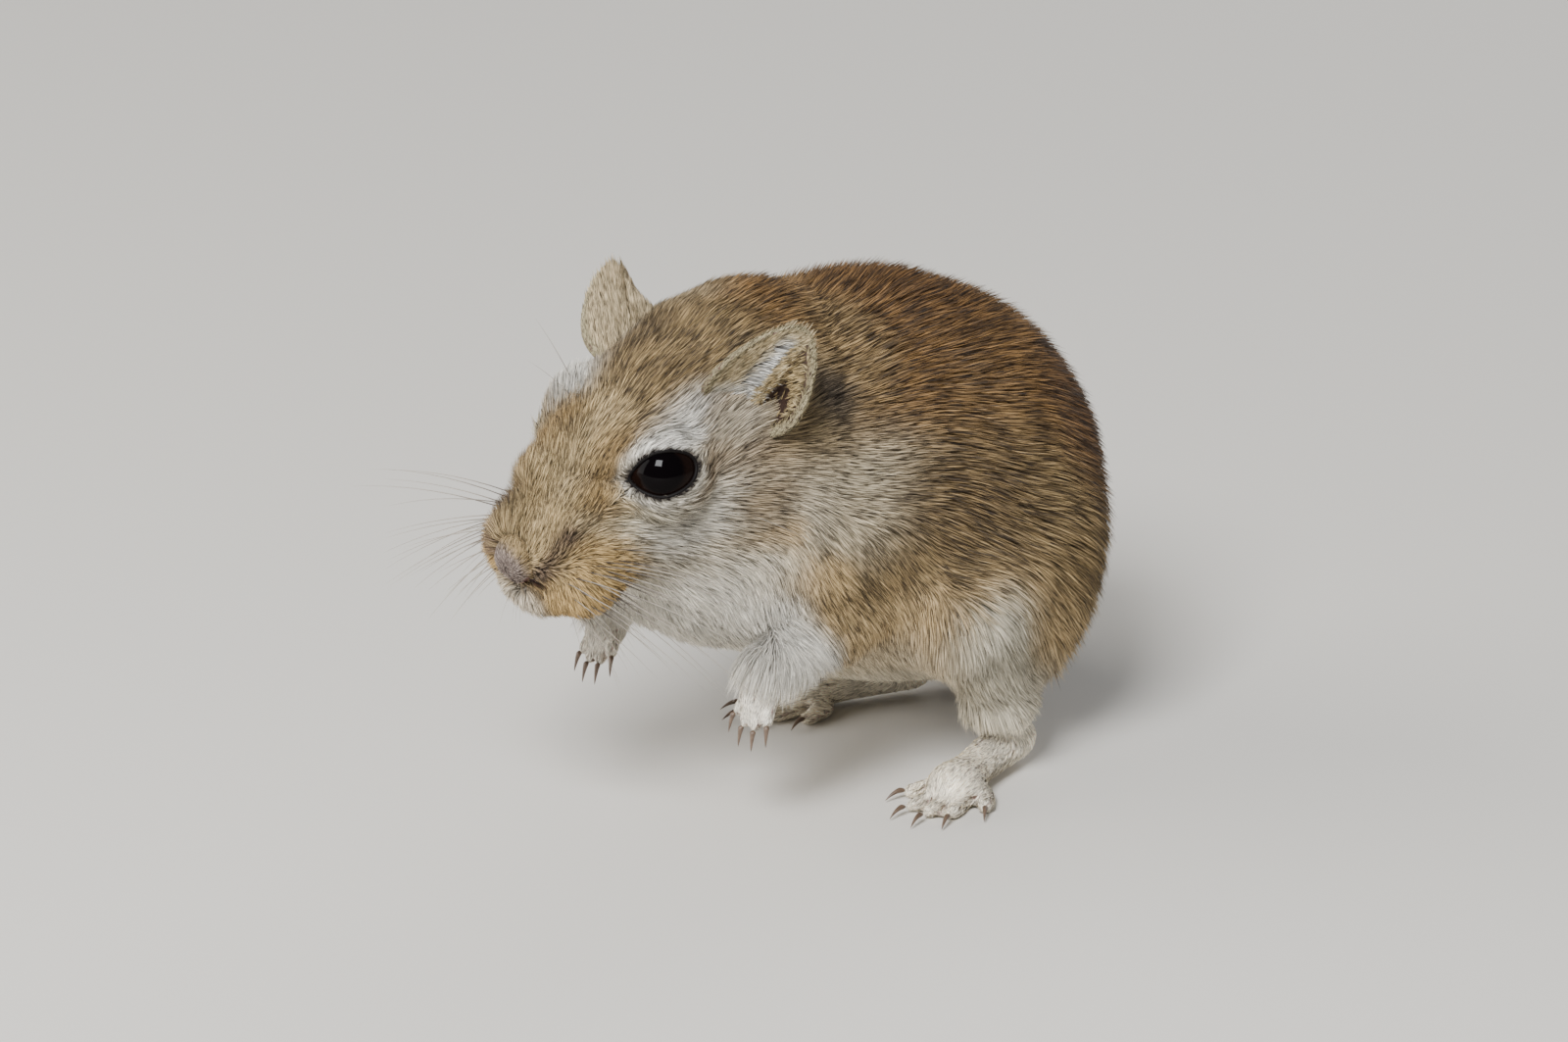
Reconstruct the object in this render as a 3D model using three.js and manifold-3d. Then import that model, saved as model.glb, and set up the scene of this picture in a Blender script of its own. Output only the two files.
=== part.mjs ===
// A gerbil at life size, a still model: it crouches on its hind feet with both forepaws lifted
// from the ground, its head lowered and tilted to its left, its tail laid on the floor behind it.
// Millimetres, +Z up. The animal faces -Y and its left side is +X. Lengths reach the coat's tips.
import * as THREE from "three";
import { mergeVertices } from "three/addons/utils/BufferGeometryUtils.js";
import Module from "manifold-3d";

const wasm = await Module();
wasm.setup();

// Driving dimensions

const GAP = 0.3; // between two pieces that meet
const SOFT = 4; // how widely two masses of flesh flow together
const FLOOR_SINK = 0.3; // how far soles and tail are pressed flat

const HEAD_AT = [3.6, -35.6, 44.3]; // midway between the eyes
const HEAD_YAW = -4; // degrees, nose to the animal's left
const HEAD_PITCH = 29; // degrees, nose down
const HEAD_ROLL = 15; // degrees, left side down

// Place along the head, back from the eyes, then half width, top and bottom
const HEAD_STATIONS = [
  [-12.4, 5.6, 1.4, -10.8],
  [-9.5, 7.2, 3.4, -13],
  [-5, 8.6, 5.6, -14.6],
  [0, 9.4, 6.9, -15.5],
  [6, 11, 7.5, -16],
  [13, 12, 6.6, -16],
];

// Place along the spine, then half width, top and bottom
const TRUNK_STATIONS = [
  [-20, 15.5, 56, 17.5],
  [-10, 18.5, 55.6, 12],
  [0, 20, 53.5, 10.8],
];
const RUMP = { at: [0, 7, 30.5], size: [21.5, 21, 22] };

const COLLAR_NORMAL = [0, -0.906, 0.423]; // square to the two cuts that part head, neck and trunk
const COLLAR_FRONT = 37.1; // how far along that direction the head begins
const COLLAR_BACK = 32.6; // and the trunk ends

const NOSE = { at: [16.8, 0, -2.2], size: [1.8, 2.4, 1.8] };
const EYE = { radius: 4.1, at: [0.2, 6.6, 0.3] };
const WHISKER_PAD = { at: [12.4, 5, -6.6], size: [5, 3.8, 4.6] };
const BROW = { at: [-0.6, 5.4, 3.2], size: [4.8, 2.8, 2.6] };
const EAR = { width: 10.4, thickness: 1.3, cup: 2.2, sunk: 2.5, taper: 0.12, flatten: 0.35 };
const EARS = {
  left: { base: [-9.3, 11.2, 1.6], tip: [-18, 14.8, 9], facing: [0.6, 0.7, 0.35] },
  right: { base: [-9.5, -10.6, 1], tip: [-13.4, -14.8, 7.6], facing: [0.15, -0.95, 0] },
};

const HIND_LEGS = {
  left: {
    hip: [11, 9.5, 25],
    haunch: [11.5, 13, 13.5],
    knee: [17, 0, 20.5],
    ankle: [13.8, 8.8, 7.6],
    heel: [12.8, 10.8, 3.2],
    ball: [17.6, -1.6, 2.2],
  },
  right: {
    hip: [-11, 11, 25],
    haunch: [-11, 15.5, 13.5],
    knee: [-15.8, 3.8, 20.5],
    ankle: [-12, 14.6, 7.6],
    heel: [-11, 16.6, 3.2],
    ball: [-14.8, 4, 2.2],
  },
};
const NECK = { from: [0.5, -16, 40], to: [2.6, -27, 42], radii: [14, 10] };

// A thigh or upper arm is parted from the flank by a plug of this radius, let in this far out
const THIGH = { hipRadius: 11.5, kneeRadius: 6.8, haunchRadius: 6, plugRadius: 9, inner: 8 };
const SHANK = { kneeRadius: 6.4, ankleRadius: 3.4 };
const FOOT = { heelRadius: 2.7, archRadius: 1.9, width: 3.5, height: 2.1, reach: 3.6, soft: 1.5 };

const FORE_LEGS = {
  left: {
    shoulder: [10, -18.5, 33],
    elbow: [13.4, -14.5, 21.5],
    wrist: [13, -23.8, 20],
    knuckles: [13, -25.4, 16.4],
  },
  right: {
    shoulder: [-9, -20, 34],
    elbow: [-12, -17, 23.5],
    wrist: [-7, -28.4, 23.2],
    knuckles: [-6.4, -30.8, 19.6],
  },
};
const UPPER_ARM = { shoulderRadius: 6.5, elbowRadius: 4.6, plugRadius: 4.5, inner: 6 };
const FOREARM = { elbowRadius: 3.9, wristRadius: 2.8 };
const PALM = { wristRadius: 2.6, knuckleRadius: 2.3 };

// For each toe or finger: its turn outward in degrees, its length, and how far ahead it starts
const TOES = {
  turns: [-24, -9, 2, 13, 30],
  lengths: [3.6, 5.4, 6, 5.6, 3.8],
  starts: [-1.6, 0.4, 0.8, 0.3, -1.8],
  spread: 1.5,
  radius: 1.05,
};
const FINGERS = {
  turns: [-16, -5, 6, 18],
  lengths: [2.4, 3, 3, 2.4],
  starts: [0, 0.3, 0.3, 0],
  spread: 1.2,
  radius: 0.8,
};
const TOE_CLAW = { length: 2.4, radius: 0.55, hook: 0.7 };
const FINGER_CLAW = { length: 2, radius: 0.45, hook: 0.5 };

// The tail's middle line, down from the rump and away along the floor behind the animal's right
const TAIL_LINE = [
  [-3, 18, 14], [-9, 26.5, 6.6], [-17, 32, 3.5], [-28, 36, 2.8],
  [-42, 41, 2.5], [-56, 48, 2.6], [-68.5, 58, 2.8], [-78, 71, 2.6],
];
const TAIL_RADII = [4.6, 4.4, 3.4, 2.9, 2.7, 2.8, 3, 0.6]; // evenly spaced, root to tip
const TAIL_CUTS = [0, 0.34, 0.67, 1]; // where its lengths begin and end, from root to tip
const TAIL_NAMES = ["tail_base", "tail_middle", "tail_tip"];
const TAIL_STEP = 3.6; // length of one facet along it

const SIDES = [
  { name: "left", side: 1 },
  { name: "right", side: -1 },
];

const vec = (a) => new THREE.Vector3(...a);
const { clamp, lerp, degToRad } = THREE.MathUtils;

// Flesh as a field: each shape gives roughly the distance from a point to its skin, negative inside

function ball(centre, radii, turn = new THREE.Matrix4()) {
  const toLocal = turn.clone().invert();
  const middle = vec(centre);
  const size = vec(radii);
  return (point) => {
    const near = point.clone().sub(middle).applyMatrix4(toLocal).divide(size);
    const steep = near.clone().divide(size).length();
    return (near.length() * (near.length() - 1)) / Math.max(steep, 1e-6);
  };
}

function limb(from, to, radiusFrom, radiusTo) {
  const start = vec(from);
  const run = vec(to).sub(start);
  return (point) => {
    const offset = point.clone().sub(start);
    const along = clamp(offset.dot(run) / run.lengthSq(), 0, 1);
    return offset.addScaledVector(run, -along).length() - lerp(radiusFrom, radiusTo, along);
  };
}

// A mass of oval sections along the Y axis of a frame. Past its end stations it closes round.
function mass(stations, frame = new THREE.Matrix4()) {
  const toLocal = frame.clone().invert();
  const places = stations.map(([place]) => place);
  const track = new THREE.CubicInterpolant(places, stations.flatMap(([, ...sizes]) => sizes), 3);
  return (point) => {
    const q = point.clone().applyMatrix4(toLocal);
    const along = clamp(q.y, places[0], places.at(-1));
    const [half, top, bottom] = track.evaluate(along);
    const tall = (top - bottom) / 2;
    const least = Math.min(half, tall);
    const reach = Math.hypot(q.x / half, (q.z - bottom - tall) / tall, (q.y - along) / least);
    return (reach - 1) * least;
  };
}

function flow(shapes, soft = SOFT) {
  const join = (a, b) => {
    const shared = Math.max(soft - Math.abs(a - b), 0) / soft;
    return Math.min(a, b) - (shared * shared * soft) / 4;
  };
  return (point) => shapes.map((shape) => shape(point)).reduce(join);
}

// Solids from closed geometries

function solidOf(geometry) {
  const bare = geometry.clone();
  bare.deleteAttribute("normal");
  bare.deleteAttribute("uv");
  const merged = mergeVertices(bare, 1e-3);
  const corners = merged.index.array;
  const kept = [];
  for (let i = 0; i < corners.length; i += 3) {
    const [a, b, c] = corners.subarray(i, i + 3);
    if (a !== b && b !== c && c !== a) kept.push(a, b, c);
  }
  return new wasm.Manifold(
    new wasm.Mesh({
      numProp: 3,
      vertProperties: new Float32Array(merged.attributes.position.array),
      triVerts: new Uint32Array(kept),
    }),
  );
}

function geometryOf(solid) {
  const mesh = solid.getMesh();
  const geometry = new THREE.BufferGeometry()
    .setAttribute("position", new THREE.BufferAttribute(mesh.vertProperties, 3))
    .setIndex(new THREE.BufferAttribute(mesh.triVerts, 1));
  geometry.computeVertexNormals();
  return geometry;
}

function moveEach(geometry, place) {
  const position = geometry.attributes.position;
  for (let i = 0; i < position.count; i += 1) {
    const point = new THREE.Vector3().fromBufferAttribute(position, i);
    position.setXYZ(i, ...place(point).toArray());
  }
  return geometry;
}

function edgeOf(flesh, start, direction, reach) {
  const at = (distance) => flesh(start.clone().addScaledVector(direction, distance));
  let outside = 0.5;
  while (outside < reach && at(outside) < 0) outside += 0.5;
  let inside = outside - 0.5;
  for (let halving = 0; halving < 16; halving += 1) {
    const middle = (inside + outside) / 2;
    if (at(middle) < 0) inside = middle;
    else outside = middle;
  }
  return inside;
}

// A capsule laid along a spine, each of its points pushed out to where the flesh ends.
// Its rings turn evenly from square to the spine's start to square to its end, so none cross.
function cast(spine, flesh, { around, along, cap, swell = 0, reach = 40 }) {
  const curve = new THREE.CatmullRomCurve3(spine.map(vec));
  const [first, last] = [0, 1].map((end) =>
    new THREE.Quaternion().setFromUnitVectors(vec([0, 1, 0]), curve.getTangent(end)),
  );
  const swollen = (point) => flesh(point) - swell;
  const capsule = new THREE.CapsuleGeometry(1, 1, cap, around, along);
  return solidOf(
    moveEach(capsule, (point) => {
      const height = clamp(point.y, -0.5, 0.5);
      const turn = first.clone().slerp(last, height + 0.5);
      const direction = point.setY(point.y - height).normalize().applyQuaternion(turn);
      const start = curve.getPoint(height + 0.5);
      const distance = edgeOf(swollen, start, direction, reach);
      return start.addScaledVector(direction, distance);
    }),
  );
}

// A plain capsule from one point to another
function rod(from, to, radius, around = 6, cap = 2) {
  const run = vec(to).sub(vec(from));
  const turn = new THREE.Quaternion().setFromUnitVectors(vec([0, 1, 0]), run.clone().normalize());
  const capsule = new THREE.CapsuleGeometry(radius, run.length(), cap, around, 1);
  capsule.applyQuaternion(turn).translate(...vec(from).addScaledVector(run, 0.5).toArray());
  return solidOf(capsule);
}

// Everything on the far side of a plane, along its normal
const HALF_SPACE = 300;
function beyond(normal, offset) {
  const up = vec(normal).normalize();
  const turn = new THREE.Quaternion().setFromUnitVectors(vec([0, 0, 1]), up);
  const box = new THREE.BoxGeometry(HALF_SPACE, HALF_SPACE, HALF_SPACE);
  box.applyQuaternion(turn).translate(...up.multiplyScalar(offset + HALF_SPACE / 2).toArray());
  return solidOf(box);
}

const floor = beyond([0, 0, -1], 0);

// The head's own frame: forward to the nose, the animal's left, and up

const headFrame = new THREE.Matrix4()
  .makeRotationZ(degToRad(HEAD_YAW))
  .multiply(new THREE.Matrix4().makeRotationX(degToRad(HEAD_PITCH)))
  .multiply(new THREE.Matrix4().makeRotationY(degToRad(HEAD_ROLL)))
  .setPosition(vec(HEAD_AT));
const headTurn = new THREE.Matrix4().extractRotation(headFrame);

const headPoint = ([forward, left, up]) => vec([left, -forward, up]).applyMatrix4(headFrame);
const inHead = (at) => headPoint(at).toArray();
const headDirection = ([forward, left, up]) => vec([left, -forward, up]).applyMatrix4(headTurn);
const headBall = (at, [long, wide, tall]) => ball(inHead(at), [wide, long, tall], headTurn);
const mirrored = ([forward, left, up], side) => [forward, side * left, up];

// The masses of flesh

const headFlesh = flow(
  [
    mass(HEAD_STATIONS, headFrame),
    ...SIDES.flatMap(({ side }) => [
      headBall(mirrored(WHISKER_PAD.at, side), WHISKER_PAD.size),
      headBall(mirrored(BROW.at, side), BROW.size),
    ]),
  ],
  2,
);

const flesh = flow([
  mass(TRUNK_STATIONS),
  ball(RUMP.at, RUMP.size),
  limb(NECK.from, NECK.to, ...NECK.radii),
  ...SIDES.flatMap(({ name }) => {
    const { hip, knee, haunch } = HIND_LEGS[name];
    const { shoulder, elbow } = FORE_LEGS[name];
    return [
      limb(hip, knee, THIGH.hipRadius, THIGH.kneeRadius),
      limb(hip, haunch, THIGH.hipRadius, THIGH.haunchRadius),
      limb(shoulder, elbow, UPPER_ARM.shoulderRadius, UPPER_ARM.elbowRadius),
    ];
  }),
  headFlesh,
]);

// The whole body is one smooth cast from the muzzle to the rump, parted below

const headSpine = [[12, 0, -5], [8.5, 0, -4.6], [5, 0, -4], [1, 0, -3.8], [-3.5, 0, -4]].map(inHead);
const trunkSpine = [[2.6, -26, 40], [1.4, -18, 38], [0.4, -9, 35], [0, 0, 32], [0, 8, 30.5]];
const bodySpine = [...headSpine, ...trunkSpine];
const bodyGrid = { around: 26, along: 26, cap: 6, reach: 30 };
const body = cast(bodySpine, flesh, bodyGrid);
const bodyRoom = cast(bodySpine, flesh, { ...bodyGrid, swell: GAP });

const aheadOf = (offset) => beyond(COLLAR_NORMAL, offset);

// The model

const model = new THREE.Group();

function add(name, solid, { color, roughness }) {
  const material = new THREE.MeshStandardMaterial({ color, roughness, metalness: 0 });
  const mesh = new THREE.Mesh(geometryOf(solid), material);
  mesh.name = name;
  model.add(mesh);
}

const SANDY_COAT = { color: 0xa08258, roughness: 0.9 };
const FACE_COAT = { color: 0xac946c, roughness: 0.9 };
const PALE_COAT = { color: 0xd8d0c0, roughness: 0.9 };
const EAR_SKIN = { color: 0xb89a78, roughness: 0.8 };
const NOSE_SKIN = { color: 0xb08f86, roughness: 0.6 };
const EYE_GLOSS = { color: 0x0b0a0c, roughness: 0.08 };
const CLAW_HORN = { color: 0x4a382c, roughness: 0.5 };
const TAIL_COAT = { color: 0x8c6f48, roughness: 0.9 };

// Thighs and upper arms are oval plugs of the flank, let in square to it

const PLUG_DEPTH = 30;

function flankPlug(side, [from, to], radius, inner, swell) {
  const [, y1, z1] = from;
  const [, y2, z2] = to;
  const half = Math.hypot(y2 - y1, z2 - z1) / 2 + radius + swell;
  const oval = new THREE.Shape();
  const turn = Math.atan2(z2 - z1, y2 - y1);
  oval.absellipse((y1 + y2) / 2, (z1 + z2) / 2, half, radius + swell, 0, 2 * Math.PI, false, turn);
  const cut = { depth: PLUG_DEPTH, bevelEnabled: false, curveSegments: 14 };
  const frame = new THREE.Matrix4().makeBasis(vec([0, 1, 0]), vec([0, 0, 1]), vec([1, 0, 0]));
  const plug = new THREE.ExtrudeGeometry(oval, cut).applyMatrix4(frame);
  plug.translate(side > 0 ? inner - swell : -inner + swell - PLUG_DEPTH, 0, 0);
  return solidOf(plug);
}

let trunk = body.subtract(aheadOf(COLLAR_BACK - GAP / 2));
for (const { name, side } of SIDES) {
  const { hip, knee } = HIND_LEGS[name];
  const { shoulder, elbow } = FORE_LEGS[name];
  const plugs = [
    [`thigh_${name}`, [hip, knee], THIGH.plugRadius, THIGH.inner],
    [`upper_arm_${name}`, [shoulder, elbow], UPPER_ARM.plugRadius, UPPER_ARM.inner],
  ];
  for (const [plugName, line, radius, inner] of plugs) {
    add(plugName, largest(trunk.intersect(flankPlug(side, line, radius, inner, 0))), SANDY_COAT);
    trunk = trunk.subtract(flankPlug(side, line, radius, inner, GAP));
  }
}
add("trunk", trunk, SANDY_COAT);

const fromCollar = body.intersect(aheadOf(COLLAR_BACK + GAP / 2));
add("neck", fromCollar.subtract(aheadOf(COLLAR_FRONT - GAP / 2)), SANDY_COAT);

// Head, nose, eyes and ears

const sphereAt = (at, radius) =>
  solidOf(new THREE.SphereGeometry(radius, 14, 9).translate(...inHead(at)));

let head = body.intersect(aheadOf(COLLAR_FRONT + GAP / 2));
for (const { name, side } of SIDES) {
  const at = mirrored(EYE.at, side);
  head = head.subtract(sphereAt(at, EYE.radius + GAP));
  add(`eye_${name}`, sphereAt(at, EYE.radius), EYE_GLOSS);
}
add("head", head, FACE_COAT);

const noseFrame = headFrame.clone().setPosition(headPoint(NOSE.at));
const [noseLong, noseWide, noseTall] = NOSE.size;
const nose = new THREE.SphereGeometry(1, 12, 8).scale(noseWide, noseLong, noseTall).applyMatrix4(noseFrame);
add("nose", solidOf(nose).subtract(bodyRoom), NOSE_SKIN);

// A leaf bent into a cup: its outer side bulges away from the opening
function earLeaf({ base, tip, facing }) {
  const root = headPoint(base);
  const up = headPoint(tip).sub(root);
  const height = up.length() + EAR.sunk;
  up.normalize();
  const open = headDirection(facing);
  open.addScaledVector(up, -open.dot(up)).normalize();
  const frame = new THREE.Matrix4().makeBasis(up.clone().cross(open), up, open);
  frame.setPosition(root.addScaledVector(up, -EAR.sunk));
  return moveEach(new THREE.SphereGeometry(1, 14, 10), ({ x, y, z }) => {
    const broad = (EAR.width / 2) * (1 - EAR.taper * y);
    const bend = EAR.cup * (x * x - 1) * (1 - EAR.flatten * y);
    return new THREE.Vector3(x * broad, ((y + 1) * height) / 2, (z * EAR.thickness) / 2 + bend);
  }).applyMatrix4(frame);
}

for (const { name } of SIDES) {
  const ear = solidOf(earLeaf(EARS[name])).subtract(bodyRoom);
  add(`ear_${name}`, largest(ear), EAR_SKIN);
}

function largest(solid) {
  return solid.decompose().reduce((a, b) => (b.volume() > a.volume() ? b : a));
}

// Feet and paws

function claw(from, direction, { length, radius, hook }) {
  const cone = moveEach(new THREE.ConeGeometry(radius, length, 5, 2), ({ x, y, z }) => {
    const along = y / length + 0.5;
    return new THREE.Vector3(x, along * length, z - hook * along * along);
  });
  const up = vec([0, 0, 1]).addScaledVector(direction, -direction.z).normalize();
  const frame = new THREE.Matrix4().makeBasis(direction.clone().cross(up), direction, up);
  return solidOf(cone.applyMatrix4(frame.setPosition(from)));
}

// Toes fan out from the end of a foot: each is joined to it and keeps a claw of its own
function digits(foot, end, forward, across, shape, clawShape, name) {
  let joined = foot;
  const middle = (shape.turns.length - 1) / 2;
  shape.turns.forEach((turn, i) => {
    const normal = forward.clone().cross(across).normalize();
    const direction = forward.clone().applyAxisAngle(normal, degToRad(turn));
    const from = end.clone().addScaledVector(across, (i - middle) * shape.spread);
    from.addScaledVector(forward, shape.starts[i]);
    const to = from.clone().addScaledVector(direction, shape.lengths[i]);
    joined = joined.add(rod(from.toArray(), to.toArray(), shape.radius));
    const root = to.addScaledVector(direction, shape.radius + GAP);
    add(`${name}_claw_${i + 1}`, claw(root, direction, clawShape).subtract(floor), CLAW_HORN);
  });
  return joined;
}

for (const { name, side } of SIDES) {
  const { knee, ankle, heel, ball: sole } = HIND_LEGS[name];
  const shankFlesh = limb(knee, ankle, SHANK.kneeRadius, SHANK.ankleRadius);
  const shankGrid = { around: 12, along: 4, cap: 3 };
  const shank = cast([ankle, knee], shankFlesh, shankGrid);
  const shankRoom = cast([ankle, knee], shankFlesh, { ...shankGrid, swell: GAP });
  add(`shank_${name}`, largest(shank.subtract(bodyRoom)), PALE_COAT);

  const forward = vec(sole).sub(vec(heel)).setZ(0).normalize();
  const across = forward.clone().cross(vec([0, 0, 1])).multiplyScalar(side);
  const up = vec([0, 0, 1]);
  const turn = new THREE.Matrix4().makeBasis(forward.clone().cross(up), forward, up);
  const pad = ball(sole, [FOOT.width, FOOT.reach, FOOT.height], turn);
  const footFlesh = flow([limb(heel, sole, FOOT.heelRadius, FOOT.archRadius), pad], FOOT.soft);
  const foot = cast([sole, heel], footFlesh, { around: 10, along: 4, cap: 3 });
  const root = vec(sole).setZ(TOES.radius - FLOOR_SINK);
  const toes = digits(foot, root, forward, across, TOES, TOE_CLAW, `hind_${name}`);
  add(`hind_foot_${name}`, toes.subtract(shankRoom).subtract(bodyRoom).subtract(floor), PALE_COAT);
}

for (const { name, side } of SIDES) {
  const { elbow, wrist, knuckles } = FORE_LEGS[name];
  const armFlesh = limb(elbow, wrist, FOREARM.elbowRadius, FOREARM.wristRadius);
  const armGrid = { around: 10, along: 3, cap: 3 };
  const forearm = cast([wrist, elbow], armFlesh, armGrid);
  const forearmRoom = cast([wrist, elbow], armFlesh, { ...armGrid, swell: GAP });
  add(`forearm_${name}`, largest(forearm.subtract(bodyRoom)), PALE_COAT);

  const forward = vec(knuckles).sub(vec(wrist)).normalize();
  const across = forward.clone().cross(vec([0, -1, 0])).normalize().multiplyScalar(side);
  const palmFlesh = limb(wrist, knuckles, PALM.wristRadius, PALM.knuckleRadius);
  const palm = cast([knuckles, wrist], palmFlesh, { around: 10, along: 2, cap: 3 });
  const paw = digits(palm, vec(knuckles), forward, across, FINGERS, FINGER_CLAW, `fore_${name}`);
  add(`forepaw_${name}`, largest(paw.subtract(forearmRoom).subtract(bodyRoom)), PALE_COAT);
}

// Tail

const tailCurve = new THREE.CatmullRomCurve3(TAIL_LINE.map(vec));
const tailTrack = new THREE.CubicInterpolant(
  TAIL_RADII.map((_, i) => i / (TAIL_RADII.length - 1)),
  TAIL_RADII,
  1,
);

function tailLength(from, to) {
  const rows = Math.round(((to - from) * tailCurve.getLength()) / TAIL_STEP);
  const tube = new THREE.CylinderGeometry(1, 1, 1, 9, rows);
  return solidOf(
    moveEach(tube, ({ x, y, z }) => {
      const along = lerp(from, to, y + 0.5);
      const tangent = tailCurve.getTangentAt(along);
      const across = tangent.clone().cross(vec([0, 0, 1])).normalize();
      const up = across.clone().cross(tangent);
      const [radius] = tailTrack.evaluate(along);
      const middle = tailCurve.getPointAt(along);
      return middle.addScaledVector(across, x * radius).addScaledVector(up, z * radius);
    }),
  );
}

TAIL_NAMES.forEach((name, i) => {
  const half = GAP / 2 / tailCurve.getLength();
  const from = TAIL_CUTS[i] + (i > 0 ? half : 0);
  const to = TAIL_CUTS[i + 1] - (i < TAIL_NAMES.length - 1 ? half : 0);
  add(name, largest(tailLength(from, to).subtract(bodyRoom).subtract(floor)), TAIL_COAT);
});

// The part's origin is on the floor, under the middle of its whole outline

const outline = new THREE.Box3().setFromObject(model);
const middle = outline.getCenter(new THREE.Vector3());
model.position.set(-middle.x, -middle.y, 0);

export default model;
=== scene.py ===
import math

import bmesh
import bpy
import numpy as np
from mathutils import Matrix, Vector
from mathutils.bvhtree import BVHTree


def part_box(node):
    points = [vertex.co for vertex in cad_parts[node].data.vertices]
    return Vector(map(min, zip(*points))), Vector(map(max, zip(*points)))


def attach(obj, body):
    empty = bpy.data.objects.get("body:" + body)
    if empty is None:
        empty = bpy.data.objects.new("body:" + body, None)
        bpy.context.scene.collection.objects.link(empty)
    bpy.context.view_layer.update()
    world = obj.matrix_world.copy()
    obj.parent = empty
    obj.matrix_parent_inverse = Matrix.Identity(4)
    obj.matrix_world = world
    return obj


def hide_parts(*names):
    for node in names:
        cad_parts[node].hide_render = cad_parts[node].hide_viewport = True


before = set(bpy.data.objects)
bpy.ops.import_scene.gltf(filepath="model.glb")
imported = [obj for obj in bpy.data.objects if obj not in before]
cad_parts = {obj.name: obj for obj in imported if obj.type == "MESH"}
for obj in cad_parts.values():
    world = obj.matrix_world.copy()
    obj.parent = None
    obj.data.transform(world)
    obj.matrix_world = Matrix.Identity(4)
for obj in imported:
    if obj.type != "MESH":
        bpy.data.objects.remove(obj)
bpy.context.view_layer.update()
rng = np.random.default_rng(23)

MM = 0.001
TUFT_BLADES = 4  # hairs in one tuft
COAT_PIECES = 8  # the coat is dealt out over this many pieces
PATCH = 0.003  # how wide a tuft's patch is on the unwrap
CROWD = 1.0


# Places


def turned(axis, degrees):
    return np.array(Matrix.Rotation(math.radians(degrees), 3, axis))


def unit(vectors):
    size = np.linalg.norm(vectors, axis=-1, keepdims=True)
    return vectors / np.maximum(size, 1e-12)


HEAD_AT = np.array([3.6, -35.6, 44.3])
HEAD_TURN = turned("Z", -4) @ turned("X", 29) @ turned("Y", 15)
EYE_RADIUS = 4.1
EYE_PLACE = np.array([0.2, 6.6, 0.3])
EYE_SET = np.array([0.25, -0.15, 0.25])  # how the ball sits within its place


def head_way(way):
    """A direction (forward, left, up) of the head, turned into the animal's frame."""
    f, l, u = np.moveaxis(np.asarray(way, float), -1, 0)
    return np.stack([l, -f, u], -1) @ HEAD_TURN.T


def head_point(place):
    return head_way(place) + HEAD_AT


def in_head(points):
    """Where points of the animal lie in the head, as (forward, left, up)."""
    l, back, u = np.moveaxis((points - HEAD_AT) @ HEAD_TURN, -1, 0)
    return np.stack([-back, l, u], -1)


def folded(h):
    """Both sides of the head as one, the left."""
    return np.stack([h[..., 0], np.abs(h[..., 1]), h[..., 2]], -1)


def on_side(h, side):
    """A place or way on the head's left, moved to the given side: 1 is the left, -1 the right."""
    return np.asarray(h, float) * [1, side, 1]


eye_low, eye_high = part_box("eye_left")
STANDS_AT = np.array((eye_low + eye_high) / 2) / MM - head_point(EYE_PLACE)


def to_model(points):
    return (points + STANDS_AT) * MM


def from_model(points):
    return points / MM - STANDS_AT


HIND_LEGS = [
    dict(knee=[17, 0, 20.5], ankle=[13.8, 8.8, 7.6], heel=[12.8, 10.8, 3.2], toes=[17.6, -1.6, 2.2]),
    dict(knee=[-15.8, 3.8, 20.5], ankle=[-12, 14.6, 7.6], heel=[-11, 16.6, 3.2], toes=[-14.8, 4, 2.2]),
]
FORE_LEGS = [
    dict(elbow=[13.4, -14.5, 21.5], wrist=[13, -23.8, 20], fingers=[13, -25.4, 16.4]),
    dict(elbow=[-12, -17, 23.5], wrist=[-7, -28.4, 23.2], fingers=[-6.4, -30.8, 19.6]),
]
TAIL_LINE = [
    [-3, 18, 14], [-9, 26.5, 6.6], [-17, 32, 3.5], [-28, 36, 2.8],
    [-42, 41, 2.5], [-56, 48, 2.6], [-68.5, 58, 2.8], [-78, 71, 2.6],
]  # fmt: skip
EARS = [
    dict(base=[-9.3, 11.2, 1.6], tip=[-18, 14.8, 9], facing=[0.6, 0.7, 0.35], side=1, forward=2.1),
    dict(base=[-9.5, -10.6, 1], tip=[-13.4, -14.8, 7.6], facing=[0.15, -0.95, 0], side=-1, forward=1.1),
]  # forward is how far the leaf lies to the front of its axis, mm
EAR_HALF_WIDTH = 4.8
EAR_THICKNESS = 0.4
EAR_FOOT = 2.5  # how far the leaf goes on below its base, mm
EAR_SUNK = 0.9  # how much deeper it is then set, mm


# Soft masks, one value per point


def ease(low, high, x):
    t = np.clip((x - low) / (high - low), 0, 1)
    return t * t * (3 - 2 * t)


def mixed(a, b, share):
    """That share of the way from a to b."""
    return a + share * (b - a)


def near(points, place, radii, edge=0.4):
    """1 inside an oval of these radii, 0 outside it, with a soft edge."""
    far = np.linalg.norm((points - np.array(place, float)) / np.array(radii, float), axis=-1)
    return ease(1 + edge, 1 - edge, far)


def along_line(points, a, b):
    """How far points are from the line from a to b, and how far along it they lie, from 0 to 1."""
    a, b = np.array(a, float), np.array(b, float)
    t = np.clip((points - a) @ (b - a) / ((b - a) @ (b - a)), 0, 1)
    return np.linalg.norm(points - a - t[..., None] * (b - a), axis=-1), t


def near_line(points, a, b, radius, edge=0.3):
    far, _ = along_line(points, a, b)
    return ease(radius * (1 + edge), radius * (1 - edge), far)


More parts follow.
